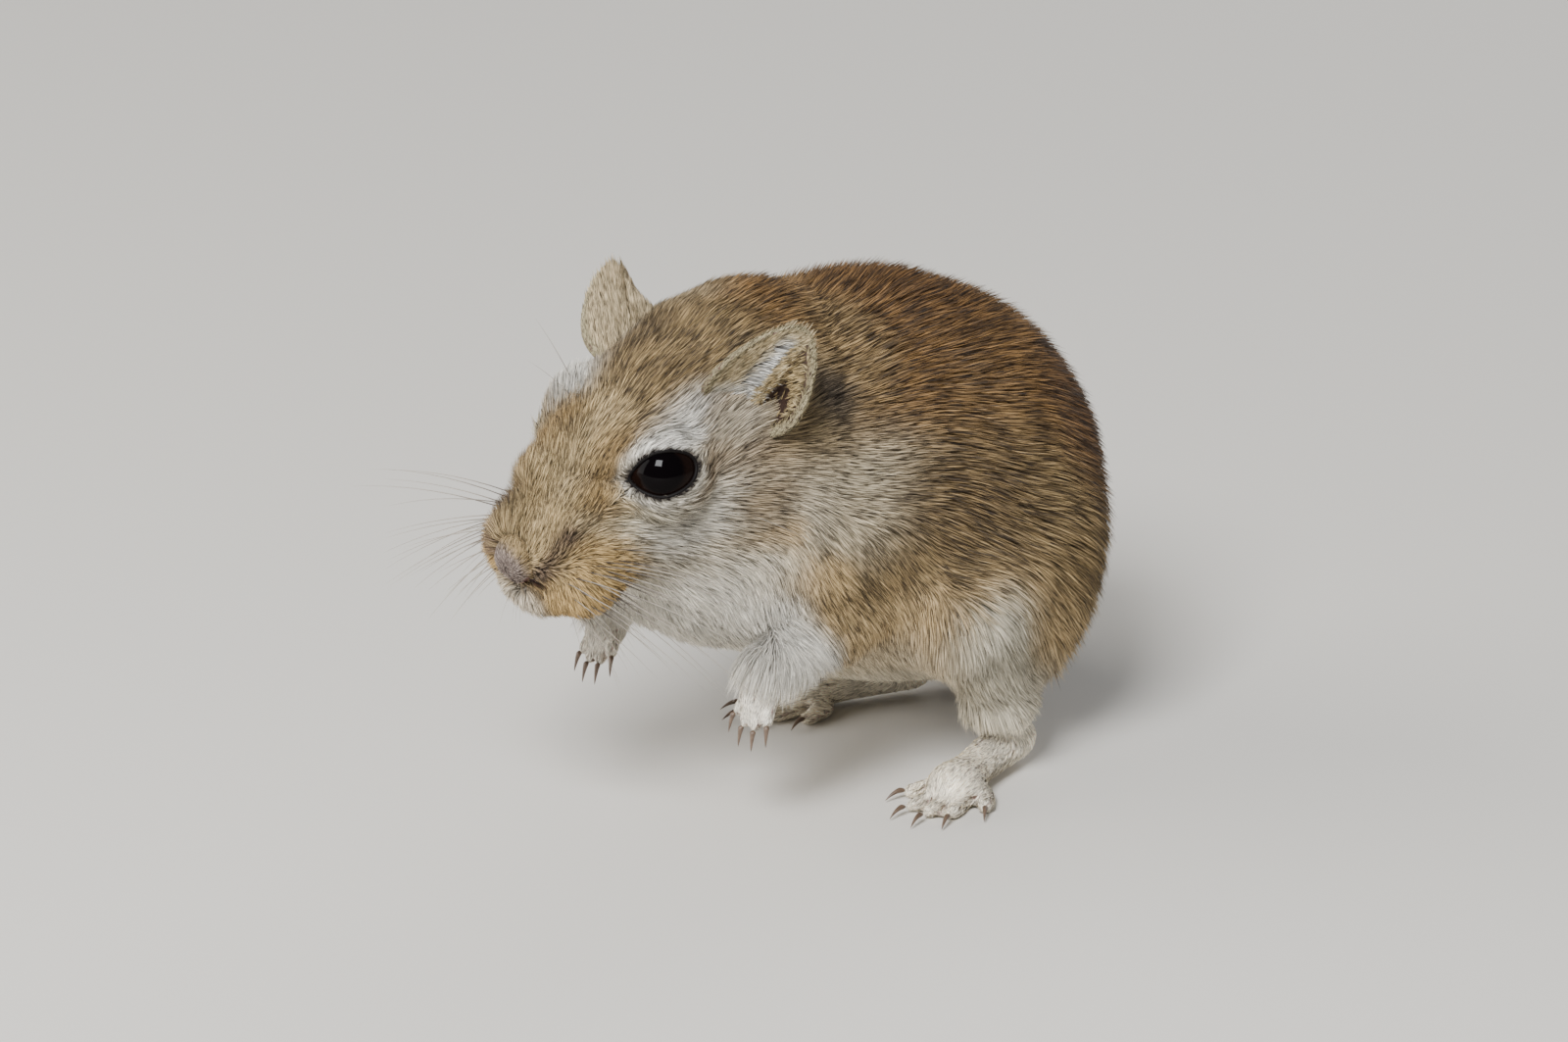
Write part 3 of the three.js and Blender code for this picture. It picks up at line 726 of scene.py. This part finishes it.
def ear_regions(across, along, inner):
    """The ear's hair: across runs from -1 at the front rim to 1, along from 0 at the root to 1 at the tip."""
    rim = ease(0.86, 0.96, np.hypot(across, 2 * along - 1))
    rear = inner * ease(0.1, 0.25, across)
    yield rear, dict(band="#b39c70", dark=0.42, length=1.3, tufts=10, skin="#3c2622", way=[-0.5, -0.7, 0.05])
    silver = inner * ease(-0.6, -0.45, across) * ease(0.0, -0.15, across) * ease(0.9, 0.8, along)
    yield silver, dict(band="#dcdad4", length=2.5, dark=0.4, tufts=7, skin="#3c2622", way=[1, 0.3, 0.2])
    front = inner * ease(-0.35, -0.55, across)
    yield front, dict(band="#cab892", dark=0.12, length=1.8, tufts=19, way=[0.15, 1, 0.1])
    tuft = inner * ease(0.3, 0.18, along) * ease(-0.1, -0.3, across)
    yield tuft, dict(band="#cfcbc0", length=3.2, dark=0.3, way=[0.6, 0.8, 0.25])
    # the canal: dark red-brown skin, darkened as painted shade inside the ear's opening
    deep = np.hypot((across - 0.6) / 0.26, (along - 0.38) / 0.24)
    canal = inner * ease(1.15, 0.8, deep)
    yield canal, dict(tufts=0.8, skin="#240d0f", length=1.0, way=[-0.3, 0.8, 0.3])
    yield 1 - inner, dict(band="#cbb894", ticking=0.25, length=2.0, way=[0, 1, 0])
    yield rim, dict(band="#b5a988", length=0.6, dark=0.05, width=0.08, depth=0.15, spread=0.08)
    yield rim, dict(tufts=34, way=[0, 1, 0.1])


def ear_coat(ear, points, normals):
    turn, root, height = ear_frame(ear)
    local = (points - root) @ turn
    along = (local[:, 1] + EAR_SUNK) / height
    across = (local[:, 0] + ear["forward"]) / (EAR_HALF_WIDTH * (1.28 - 0.56 * along))
    core = ear_hollow(across, 2 * along - 1) - ear["side"] * EAR_THICKNESS / 2
    inner = ease(-0.06, 0.06, local[:, 2] - core)
    coat = blended(EAR_COAT, points.shape[:-1], ear_regions(across, along, inner))
    way = coat.pop("way") @ turn.T
    way -= np.sum(way * normals, -1)[:, None] * normals * 0.85
    return coat, unit(way)


NOSE_HAIR = {
    "depth": 0.12,
    "length": 0.7,
    "loft": 0.0,
    "width": 0.06,
    "spread": 0.07,
    "tufts": 44,
    "ticking": 0.2,
    "dark": 0.15,
    "band": "#a4948a",
    "skin": "#77665f",
}


def nose_coat(h):
    """Velvet of the nose: greyish in front, sandy where it meets the muzzle."""
    edge = ease(0.8, 0.3, (h[..., 0] - NOSE_AT[0]) / NOSE_SIZE[0])
    return blended(NOSE_HAIR, h.shape[:-1], [(edge, dict(band="#b0986e", length=1.1))])


# Tufts


def triangles_of(mesh):
    mesh.calc_loop_triangles()
    count = len(mesh.loop_triangles)
    corners, loops = np.empty(count * 3, np.int32), np.empty(count * 3, np.int32)
    mesh.loop_triangles.foreach_get("vertices", corners)
    mesh.loop_triangles.foreach_get("loops", loops)
    return corners.reshape(-1, 3), loops.reshape(-1, 3)


def mix3(weights, values):
    return np.einsum("nk,nk...->n...", weights, values)


def scatter(points, corners, crowd):
    """Even random places over the triangles, crowd to the square mm: triangle numbers and weights in each."""
    a, b, c = (points[corners[:, i]] for i in range(3))
    area = np.linalg.norm(np.cross(b - a, c - a), axis=1) / 2
    total = np.cumsum(area * crowd * CROWD)
    steps = np.arange(int(total[-1])) + rng.random(int(total[-1]))
    chosen = np.minimum(np.searchsorted(total, steps), len(corners) - 1)
    u, v = rng.random((2, len(chosen)))
    over = u + v > 1
    u, v = np.where(over, 1 - u, u), np.where(over, 1 - v, v)
    return chosen, np.stack([1 - u - v, u, v], -1)


class Ground:
    """The skin as a surface to plant on: nearest place and normal for any point."""

    def __init__(self, points, normals, corners):
        self.points, self.normals, self.corners = points, normals, corners
        self.tree = BVHTree.FromPolygons(points.tolist(), corners.tolist())

    def nearest(self, places):
        hits = [self.tree.find_nearest(p) for p in places.tolist()]
        spot = np.array([hit[0] for hit in hits])
        face = np.array([hit[2] for hit in hits])
        tri = self.corners[face]
        a, b, c = (self.points[tri[:, i]] for i in range(3))
        whole = np.maximum(np.linalg.norm(np.cross(b - a, c - a), axis=1), 1e-12)
        wa = np.linalg.norm(np.cross(b - spot, c - spot), axis=1) / whole
        wb = np.linalg.norm(np.cross(c - spot, a - spot), axis=1) / whole
        weights = np.stack([wa, wb, np.clip(1 - wa - wb, 0, 1)], -1)
        return spot, unit(mix3(weights, self.normals[tri]))


def grow(roots, normals, ways, coat, uv, ground=None):
    """Tufts of thin blades with three triangles each, which follow the body from root to tip."""
    count = len(roots)
    length = coat["length"][:, None] * rng.uniform(0.75, 1.15, (count, 1))
    middle, middle_normal = roots + ways * length * 0.5, normals
    end, end_normal = roots + ways * length, normals
    middle_way = end_way = ways
    if ground is not None:
        bound = 1 - coat["free"][:, None]
        on_body, body_normal = ground.nearest(middle)
        middle = mixed(middle, on_body, bound)
        middle_normal = unit(mixed(normals, body_normal, bound))
        middle_way = unit(mixed(ways, lie_at(on_body, body_normal), bound))
        end = middle + middle_way * length * 0.5
        on_body, body_normal = ground.nearest(end)
        end = mixed(end, on_body, bound)
        end_normal = unit(mixed(normals, body_normal, bound))
        end_way = unit(mixed(middle_way, lie_at(on_body, body_normal), bound))
    depth = coat["depth"][:, None] * rng.uniform(0.7, 1.05, (count, 1))
    rows = []
    aside, ahead, roll = rng.uniform(-1, 1, (3, count, TUFT_BLADES, 1))
    lifts = rng.uniform(0.7, 1.08, (count, TUFT_BLADES, 1))
    reach = rng.uniform(0.8, 1.1, (count, TUFT_BLADES, 1))
    for at, normal, way, height, fan, width in (
        (roots, normals, ways, -0.06, 1.0, 0.8),
        (middle, middle_normal, middle_way, 0.62, 0.85, 1.0),
        (end, end_normal, end_way, 1.0, 0.5, 0.0),
    ):
        side = np.cross(way, normal)
        offset = aside * fan * side[:, None] + ahead * way[:, None] * (0.8 + height)
        loft = coat["loft"][:, None, None] * max(height, 0) ** 2
        rise = normal[:, None] * (height * depth[:, None] * lifts + loft)
        at = roots[:, None] + (at - roots)[:, None] * reach + offset * coat["spread"][:, None, None] + rise
        edge = side[:, None] * np.cos(roll * 0.7) + normal[:, None] * np.sin(roll * 0.7)
        half = edge * (coat["width"] * width / 2)[:, None, None]
        rows += [at - half, at + half] if width else [at]
    return {"places": np.stack(rows, 2), "coat": coat, "uv": uv}


def colour_blades(planted):
    """Every hair's own band colour and how black its tip is."""
    coat, spots = planted["coat"], planted["places"][:, 0, 0]
    shape = planted["places"].shape[:2]
    ticked = rng.random(shape) < (coat["ticking"] * (0.9 + 0.4 * ripple(spots, 2.0, 3)))[:, None]
    tip = np.where(ticked, rng.uniform(0.6, 1, shape), 0.0)
    light = rng.uniform(0.55, 1.32, shape) * (1 + 0.12 * ripple(spots, 3, 4))[:, None]
    light = np.where(rng.random(shape) < coat["dark"][:, None], 0.3, light)
    return coat["band"][:, None] * light[..., None], tip


def coat_mesh(name, places, band, tip, uv):
    """Joins blades, an array of (tuft, blade, corner) places, into one mesh with its marks and its unwrap."""
    tufts, blades = places.shape[:2]
    corners = np.array([[0, 1, 3], [0, 3, 2], [2, 3, 4]])
    index = (np.arange(tufts * blades)[:, None, None] * 5 + corners).reshape(-1, 3)
    mesh = bpy.data.meshes.new(name)
    mesh.vertices.add(tufts * blades * 5)
    mesh.vertices.foreach_set("co", to_model(places).astype(np.float32).ravel())
    mesh.loops.add(index.size)
    mesh.loops.foreach_set("vertex_index", index.astype(np.int32).ravel())
    mesh.polygons.add(len(index))
    mesh.polygons.foreach_set("loop_start", np.arange(0, index.size, 3, dtype=np.int32))
    mesh.update(calc_edges=True)
    colours = np.repeat(np.concatenate([band, tip[..., None]], -1).reshape(-1, 4), 5, 0)
    mark = mesh.attributes.new("markings", "FLOAT_COLOR", "POINT")
    mark.data.foreach_set("color", colours.astype(np.float32).ravel())
    along = np.broadcast_to([0, 0, 0.5, 0.5, 1], (tufts, blades, 5))
    reach = mesh.attributes.new("root_to_tip", "FLOAT", "POINT")
    reach.data.foreach_set("value", along.astype(np.float32).ravel())
    strip = (np.arange(blades)[:, None] + 0.5 + np.array([-0.4, 0.4, -0.4, 0.4, 0])) / blades - 0.5
    strip = np.stack([np.broadcast_to(strip, along.shape), along - 0.5], -1)
    place = (np.clip(uv, PATCH, 1 - PATCH)[:, None, None] + strip * PATCH).reshape(-1, 2)
    layer = mesh.uv_layers.new(name="OFBake")
    layer.uv.foreach_set("vector", place[index.ravel()].astype(np.float32).ravel())
    return mesh


# Small pieces: eyeballs, lids' rims, whiskers, claws and the nose

BALL_INSET = 0.1  # how far the eyeball's surface lies within its radius, mm
CORNEA_RISE = 0.03  # how far the cornea stands out of the ball, as a share of its radius
WHISKER_PALE = linear("#9a9184")
WHISKER_DARK = linear("#2c211b")
CLAW_SHARE = 0.75  # of the CAD claw's length
CLAW_SUNK = 0.9  # how far a claw's root goes back into the toe, mm
CLAW_ARCH = 0.4  # how high a claw's middle stands over the line from root to tip, mm
CLAW_RADIUS = 0.38


def move_to(bm, places):
    for vert, place in zip(bm.verts, to_model(places)):
        vert.co = place


def unit_ball(segments, rings):
    """A ball of radius 1, and its points."""
    bm = bmesh.new()
    bmesh.ops.create_uvsphere(bm, u_segments=segments, v_segments=rings, radius=1)
    return bm, np.array([vert.co for vert in bm.verts])


def rolled(along, around, place):
    """A grid rolled into a closed form: place gives its points from the shares along it and round it."""
    bm = bmesh.new()
    bmesh.ops.create_grid(bm, x_segments=along, y_segments=around, size=1)
    shares = (np.array([vert.co[:2] for vert in bm.verts]) + 1) / 2
    move_to(bm, place(shares[:, :1], shares[:, 1:]))
    bmesh.ops.remove_doubles(bm, verts=bm.verts, dist=1e-7)
    bmesh.ops.recalc_face_normals(bm, faces=bm.faces)
    return mesh_from(bm, "rolled")


def joined(name, meshes):
    bm = bmesh.new()
    for mesh in meshes:
        bm.from_mesh(mesh)
        bpy.data.meshes.remove(mesh)
    return mesh_from(bm, name)


def eyeball(eye):
    """A nearly black ball with its cornea and a dim brown ring of iris."""
    bm, ball = unit_ball(64, 40)
    facing = np.arccos(np.clip(ball @ eye["axis"], -1, 1))
    far = EYE_RADIUS * (1 + CORNEA_RISE * ease(0.8, 0.3, facing)) - BALL_INSET
    move_to(bm, head_point(eye["centre"] + ball * far[:, None]))
    mesh = mesh_from(bm, "ball")
    iris = (ease(0.55, 0.7, facing) * ease(1.15, 1.0, facing))[:, None]
    paint(mesh, mixed(linear("#050304"), linear("#140b08"), iris))
    return mesh


def lid_rim(eye):
    """The bare wet edge of both lids: a thin roll that lies on the ball along the opening."""

    def place(along, around):
        turn, roll = along * math.tau, around * math.tau
        angle = opening_edge(turn, eye) + 0.045 + 0.052 * np.cos(roll)
        far = EYE_RADIUS + 0.02 + 0.21 * np.sin(roll)
        out = eye["across"] * np.cos(turn) + eye["up"] * np.sin(turn)
        return head_point(eye["centre"] + far * (eye["axis"] * np.cos(angle) + out * np.sin(angle)))

    return rolled(96, 12, place)


def rod(path, radius, along=10, around=6):
    """A thin round piece along a path; both give values for shares from root to tip."""
    way = unit(path(np.array([[1.0]])) - path(np.array([[0.0]])))
    side = unit(np.cross(way, [0.31, 0.2, 0.93]))
    up = np.cross(side, way)

    def place(share, around_it):
        roll = around_it * math.tau
        return path(share) + radius(share) * (side * np.cos(roll) + up * np.sin(roll))

    return rolled(along, around, place)


def whisker(root, way, length, thickness=0.15):
    """A stiff hair that tapers to nothing and bends down under its own weight, dark at its root."""
    sag = np.array([0, 0, -0.16]) * length

    def path(share):
        return root + way * length * share + sag * share**2

    mesh = rod(path, lambda share: thickness / 2 * (1 - share) ** 0.8, 8, 5)
    share = np.linalg.norm(points_of(mesh) - root, axis=1) / length
    root_dark = ease(rng.uniform(0.25, 0.6), 0.05, share)[:, None]
    paint(mesh, mixed(WHISKER_PALE, WHISKER_DARK, root_dark))
    return mesh


def sprout(ground, side, guess, way, length, thickness=0.15):
    """A whisker on the skin next to a guess; the guess and the way are given for the head's left."""
    root, _ = ground.nearest(head_point(on_side(guess, side))[None])
    return whisker(root[0], head_way(on_side(unit(way), side)), length, thickness)


def pad_whiskers(ground, side, sweep):
    """Five rows over the whisker pad, the longest at its back; sweep turns them forward or back."""
    made = []
    for row in range(5):
        for column in range(6):
            forward, down = column / 5, row / 4
            guess = np.array([10.2 + 5.6 * forward, 8.5 - 3.2 * forward, -2.2 - 5.6 * down - 1.2 * forward])
            guess[:2] += rng.uniform(-0.3, 0.3, 2)
            way = np.array([sweep + 0.5 * forward, 0.95 - 0.35 * forward, 0.05 - 0.85 * down])
            way += rng.uniform(-0.15, 0.15, 3)
            length = (25 - 17 * forward - 5 * abs(down - 0.4)) * rng.uniform(0.85, 1.1)
            made.append(sprout(ground, side, guess, way, length))
    for _ in range(30):
        forward = rng.uniform(0, 1)
        guess = [9.5 + 6.5 * forward, 7.5 - 3.5 * forward, -9.2 - 0.6 * forward]
        way = np.array([-0.45 + 0.6 * forward, 0.45, -0.95]) + rng.uniform(-0.16, 0.16, 3)
        made.append(sprout(ground, side, guess, way, rng.uniform(4, 10), 0.07))
    return made


LONE_WHISKERS = [  # over the eye and on the cheek: place, way and length
    [[1.5, 4.6, 6.2], [0.15, 0.5, 0.9], 9],
    [[0.2, 5.4, 6.0], [-0.2, 0.6, 0.85], 11],
    [[-3.5, 11, -7], [-0.5, 0.8, -0.3], 9],
]


def lone_whiskers(ground, side):
    return [sprout(ground, side, place, way, length, 0.11) for place, way, length in LONE_WHISKERS]


def claw(node, foot):
    """A curved horn in the place of one CAD claw, its root sunk in the toe."""
    root, tip = claw_ends(node, foot)
    tip = root + (tip - root) * CLAW_SHARE
    root = root - unit(tip - root) * CLAW_SUNK
    arch = np.array([0, 0, CLAW_ARCH])

    def path(share):
        return root + (tip - root) * share + arch * 4 * share * (1 - share)

    def radius(share):
        return CLAW_RADIUS * np.sqrt(np.clip(4 * share, 0, 1)) * (1 - share) ** 0.7

    return rod(path, radius, 12, 8)


NOSE_AT = np.array([16.9, 0, -2.4])
NOSE_SIZE = np.array([1.7, 2.2, 2.9])


def nostril_slit(ball):
    """The comma under each wing of the nose, for places on the nose taken as a ball of radius 1."""
    wing = folded(ball)
    line = near_line(wing, [0.66, 0.08, -0.78], [0.5, 0.66, -0.6], 0.13, 0.6)
    return np.maximum(line, near(wing, [0.42, 0.76, -0.54], [0.3, 0.28, 0.24], 0.5))


def nose_pad():
    """The velvet nose tip: two rounded wings, a groove between them and a nostril's slit under each."""
    bm, ball = unit_ball(64, 48)
    slit = nostril_slit(ball)
    groove = np.exp(-((ball[:, 1] / 0.1) ** 2)) * ease(0.2, -0.4, ball[:, 2])
    puff = 0.08 * near(folded(ball), [0.75, 0.5, 0], [0.5, 0.4, 0.45], 0.6)
    size = (1 + puff - 0.36 * slit - 0.1 * groove)[:, None]
    move_to(bm, head_point(NOSE_AT + NOSE_SIZE * ball * size))
    red = ease(0.1, -0.6, ball[:, 2])[:, None]
    skin = mixed(linear(NOSE_HAIR["skin"]), linear("#8f6a61"), red)
    # the slits dark red-brown, darkened as painted shade inside the nostrils
    return mesh_from(bm, "nose"), mixed(skin, linear("#2a0f0d"), slit[:, None] ** 0.6)


def paint(mesh, colours):
    marks = mesh.attributes.new("markings", "FLOAT_COLOR", "POINT")
    full = np.concatenate([colours, np.ones((len(colours), 1))], -1)
    marks.data.foreach_set("color", full.astype(np.float32).ravel())


# Materials


def node_maker(material):
    """Returns a function that adds a node with its settings and links."""
    tree = material.node_tree

    def add(kind, settings=None, **links):
        node = tree.nodes.new(kind)
        for key, value in (settings or {}).items():
            setattr(node, key, value)
        for key, value in links.items():
            socket = node.inputs[int(key[1:])] if key[0] == "_" else node.inputs[key.replace("_", " ")]
            if isinstance(value, bpy.types.NodeSocket):
                tree.links.new(value, socket)
            else:
                socket.default_value = value
        return node

    return add


def new_material(name):
    material = bpy.data.materials.new(name)
    material.use_nodes = True
    material.node_tree.nodes.clear()
    return material, node_maker(material)


def shade(code):
    return (*linear(code), 1)


def colour_mix(add, share, first, second):
    """Adds a node that goes from the first colour to the second, and gives its colour."""
    return add("ShaderNodeMix", {"data_type": "RGBA"}, _0=share, _6=first, _7=second).outputs[2]


def finish_material(add, **links):
    surface = add("ShaderNodeBsdfPrincipled", None, **links)
    add("ShaderNodeOutputMaterial", None, Surface=surface.outputs[0])


def hair_material():
    """Guard hair and underfur: slate at the root and darker there also as painted shade deep in the coat,
    clean in its band, black at the tip of a ticked hair.
    """
    material, add = new_material("agouti hair")
    marks = add("ShaderNodeAttribute", {"attribute_name": "markings"}).outputs
    reach = add("ShaderNodeAttribute", {"attribute_name": "root_to_tip"}).outputs["Fac"]
    # darker towards the root: the hair's own slate, and painted shade deep in the coat
    dull = add("ShaderNodeMapRange", None, Value=reach, From_Min=0.0, From_Max=0.6, To_Min=0.3, To_Max=1.0)
    band = add("ShaderNodeVectorMath", {"operation": "SCALE"}, _0=marks["Color"], Scale=dull.outputs[0])
    tip = add("ShaderNodeMapRange", None, Value=reach, From_Min=0.5, From_Max=0.72)
    black = add("ShaderNodeMath", {"operation": "MULTIPLY"}, _0=tip.outputs[0], _1=marks["Alpha"])
    finish_material(
        add,
        Base_Color=colour_mix(add, black.outputs[0], band.outputs[0], shade("#241b15")),
        Roughness=0.6,
        Specular_IOR_Level=0.2,
        Sheen_Weight=0.05,
        Sheen_Roughness=0.5,
    )
    return material


def skin_material(name, roughness, crease_mm):
    """Living skin: matt, dull under the coat where its colour carries painted shade, faintly creased where it
    is bare.
    """
    material, add = new_material(name)
    marks = add("ShaderNodeAttribute", {"attribute_name": "markings"})
    where = add("ShaderNodeTexCoord").outputs["Object"]
    creases = add("ShaderNodeTexNoise", None, Vector=where, Scale=1 / (crease_mm * MM), Detail=3.0)
    bump = add("ShaderNodeBump", None, Strength=0.5, Distance=0.00015, Height=creases.outputs["Fac"])
    finish_material(add, Base_Color=marks.outputs["Color"], Roughness=roughness, Normal=bump.outputs[0])
    return material


def eye_material():
    """Wet cornea over a nearly black brown iris: mirror smooth, with hardly any colour."""
    material, add = new_material("wet black eye")
    marks = add("ShaderNodeAttribute", {"attribute_name": "markings"})
    finish_material(add, Base_Color=marks.outputs["Color"], Roughness=0.03, IOR=1.16)
    return material


def plain_material(name, code, roughness, **more):
    material, add = new_material(name)
    finish_material(add, Base_Color=shade(code), Roughness=roughness, **more)
    return material


def horn_material(name, pale, dark, grain_mm):
    """Keratin of a claw: smooth and streaked by its fine grain."""
    material, add = new_material(name)
    where = add("ShaderNodeTexCoord").outputs["Object"]
    streaks = add("ShaderNodeTexNoise", None, Vector=where, Scale=1 / (grain_mm * MM), Detail=2.0)
    colour = colour_mix(add, streaks.outputs["Fac"], shade(pale), shade(dark))
    finish_material(add, Base_Color=colour, Roughness=0.34, IOR=1.55)
    return material


def show(name, mesh, material, nodes=()):
    """Puts a finished mesh in the scene as a piece that rides on the body, in place of CAD nodes."""
    mesh.name = name
    mesh.materials.clear()
    mesh.materials.append(material)
    mesh.polygons.foreach_set("use_smooth", np.ones(len(mesh.polygons), bool))
    obj = in_scene(name, mesh)
    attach(obj, "root")
    if nodes:
        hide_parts(*nodes)
    return obj


# The skin with both ears as one piece, and its unwrap


def unwrap(obj):
    obj.data.uv_layers.new(name="OFBake")
    bpy.context.view_layer.objects.active = obj
    obj.select_set(True)
    bpy.ops.object.mode_set(mode="EDIT")
    bpy.ops.mesh.select_all(action="SELECT")
    bpy.ops.uv.smart_project(angle_limit=1.15, island_margin=0.001)
    bpy.ops.object.mode_set(mode="OBJECT")
    obj.select_set(False)
    flat = np.empty(len(obj.data.loops) * 2, np.float32)
    obj.data.uv_layers["OFBake"].uv.foreach_get("vector", flat)
    return flat.reshape(-1, 2).astype(float)


body_skin = make_skin()
leaves = [ear_leaf(ear) for ear in EARS]
nose, nose_colours = nose_pad()
counts = np.cumsum([len(mesh.vertices) for mesh in (body_skin, *leaves, nose)])
skin = joined("skin", [body_skin, *leaves, nose])
skin_look = skin_material("skin under the coat", 0.6, 0.3)
skin_piece = show("skin", skin, skin_look, [*FLESH, "ear_left", "ear_right", "nose"])
skin_uv = unwrap(skin_piece)
skin_points, skin_normals = points_of(skin), normals_of(skin)
corners, loops = triangles_of(skin)
part_of = np.searchsorted(counts, corners[:, 0], "right")  # 0 the body, 1 and 2 the ears, 3 the nose

body_coat = coat_at(skin_points[: counts[0]])
skin_colours = [underfur(body_coat)]
for ear, start, end in zip(EARS, counts, counts[1:]):
    coat, _ = ear_coat(ear, skin_points[start:end], skin_normals[start:end])
    skin_colours.append(underfur(coat) * 0.2 + coat["skin"] * 0.8)
paint(skin, np.concatenate([*skin_colours, nose_colours]))

# Planting the coat

FLOOR_CLEARANCE = 0.05  # no hair comes lower than this, mm
middles = skin_points[corners].mean(1)
head_middles = in_head(middles)
bare = np.zeros(len(corners), bool)
for eye in EYES:
    far, beyond = round_eye(head_middles, eye)
    bare |= (beyond < BARE_EDGE) & (far < EYE_RADIUS + 1.5)
on_nose = (head_middles - NOSE_AT) / NOSE_SIZE
bare |= np.linalg.norm(on_nose, axis=1) < 0.95
ground = Ground(skin_points, skin_normals, corners[part_of == 0])


def plant(chosen, weights):
    """Roots, normals and places on the unwrap for tufts on the skin."""
    roots = mix3(weights, skin_points[corners[chosen]])
    normals = unit(mix3(weights, skin_normals[corners[chosen]]))
    return roots, normals, mix3(weights, skin_uv[loops[chosen]])


crowd = coat_at(middles)["tufts"] * ((part_of == 0) & ~bare)
roots, normals, uv = plant(*scatter(skin_points, corners, crowd))
planted = [grow(roots, normals, lie_at(roots, normals), coat_at(roots), uv, ground)]
for number, ear in enumerate(EARS, 1):
    leaf_normals = unit(skin_normals[corners].mean(1))
    crowd = ear_coat(ear, middles, leaf_normals)[0]["tufts"] * (part_of == number)
    roots, normals, uv = plant(*scatter(skin_points, corners, crowd))
    coat, ways = ear_coat(ear, roots, normals)
    planted.append(grow(roots, normals, ways, coat, uv))

haired = (nostril_slit(unit(on_nose)) < 0.25) & (on_nose[:, 2] > -0.8)
crowd = NOSE_HAIR["tufts"] * ((part_of == 3) & haired)
roots, normals, uv = plant(*scatter(skin_points, corners, crowd))
planted.append(grow(roots, normals, lie_at(roots, normals), nose_coat(in_head(roots)), uv))

hair = hair_material()
coloured = [colour_blades(part) for part in planted]
places = np.concatenate([part["places"] for part in planted])
places[..., 2] = np.maximum(places[..., 2], FLOOR_CLEARANCE)
band, tip = (np.concatenate([part[i] for part in coloured]) for i in (0, 1))
uv = np.concatenate([part["uv"] for part in planted])
order = rng.permutation(len(places))
for i in range(COAT_PIECES):
    mine = order[i::COAT_PIECES]
    mesh = coat_mesh(f"coat_{i + 1}", places[mine], band[mine], tip[mine], uv[mine])
    show(f"coat_{i + 1}", mesh, hair)
print("skin", len(corners), "triangles; tufts", len(places), [len(part["uv"]) for part in planted])

# Eyes, claws and whiskers

wet_eye = eye_material()
lid_skin = plain_material("dark lid rim", "#0d0908", 0.6, Specular_IOR_Level=0.15)
for eye in EYES:
    show(f"eyeball_{eye['name']}", eyeball(eye), wet_eye, [f"eye_{eye['name']}"])
    show(f"lid_rim_{eye['name']}", lid_rim(eye), lid_skin)

claw_horn = horn_material("claw keratin", "#7d6857", "#392b22", 0.5)
for node in sorted(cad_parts):
    if "claw" in node:
        end, side, _, number = node.split("_")
        foot = f"forepaw_{side}" if end == "fore" else f"hind_foot_{side}"
        show(f"horn_{end}_{side}_{number}", claw(node, foot), claw_horn, [node])

whisker_keratin = skin_material("whisker keratin", 0.4, 0.5)
for name, side, sweep in (("left", 1, -0.55), ("right", -1, 0.25)):
    whiskers = pad_whiskers(ground, side, sweep) + lone_whiskers(ground, side)
    show(f"whiskers_{name}", joined("whiskers", whiskers), whisker_keratin)

# Studio

floor_stuff = plain_material("pale floor", "#d9d5cd", 0.8)
bm = bmesh.new()
bmesh.ops.create_grid(bm, x_segments=2, y_segments=2, size=4)
floor_mesh = mesh_from(bm, "floor")
floor_mesh.materials.append(floor_stuff)
floor = in_scene("floor", floor_mesh)

AZIMUTH, ELEVATION = math.radians(50), math.radians(19)
CAMERA_DISTANCE = 0.8  # m
AIM_LEFT, AIM_BELOW = 8.51, 2.82  # where the camera points, from the animal's middle, mm
LEVEL = math.cos(ELEVATION)
BACK = Vector((math.sin(AZIMUTH) * LEVEL, -math.cos(AZIMUTH) * LEVEL, math.sin(ELEVATION)))
RIGHT = Vector((math.cos(AZIMUTH), math.sin(AZIMUTH), 0))
UP = BACK.cross(RIGHT)
middle = Vector(to_model(np.array([0.0, 0.0, 30.0])))
aim = middle - RIGHT * AIM_LEFT * MM - UP * AIM_BELOW * MM
camera = in_scene("camera", bpy.data.cameras.new("camera"))
camera.data.lens = 169.2
camera.data.sensor_width = 36
camera.data.clip_start = 0.05
camera.location = aim + BACK * CAMERA_DISTANCE
camera.rotation_mode = "QUATERNION"
camera.rotation_quaternion = (-BACK).to_track_quat("-Z", "Y")
bpy.context.scene.camera = camera


def softbox(name, way, distance, size, watts, colour):
    light = bpy.data.lights.new(name, "AREA")
    light.size = size
    light.energy = watts
    light.color = colour
    obj = in_scene(name, light)
    obj.location = middle + way.normalized() * distance
    obj.rotation_mode = "QUATERNION"
    obj.rotation_quaternion = way.normalized().to_track_quat("Z", "Y")


softbox("key", BACK - RIGHT * 0.24 + UP * 0.42, 0.9, 0.29, 13, (0.97, 0.98, 1))
softbox("side", BACK * 0.1 - RIGHT + UP * 0.35, 1.0, 0.9, 10, (1, 0.97, 0.93))
softbox("back", -BACK * 0.9 + RIGHT * 0.5 + UP * 0.9, 1.0, 0.7, 3, (0.95, 0.97, 1))

world = bpy.data.worlds.new("studio")
world.use_nodes = True
world.node_tree.nodes["Background"].inputs["Color"].default_value = (0.9, 0.92, 0.95, 1)
world.node_tree.nodes["Background"].inputs["Strength"].default_value = 0.28
bpy.context.scene.world = world
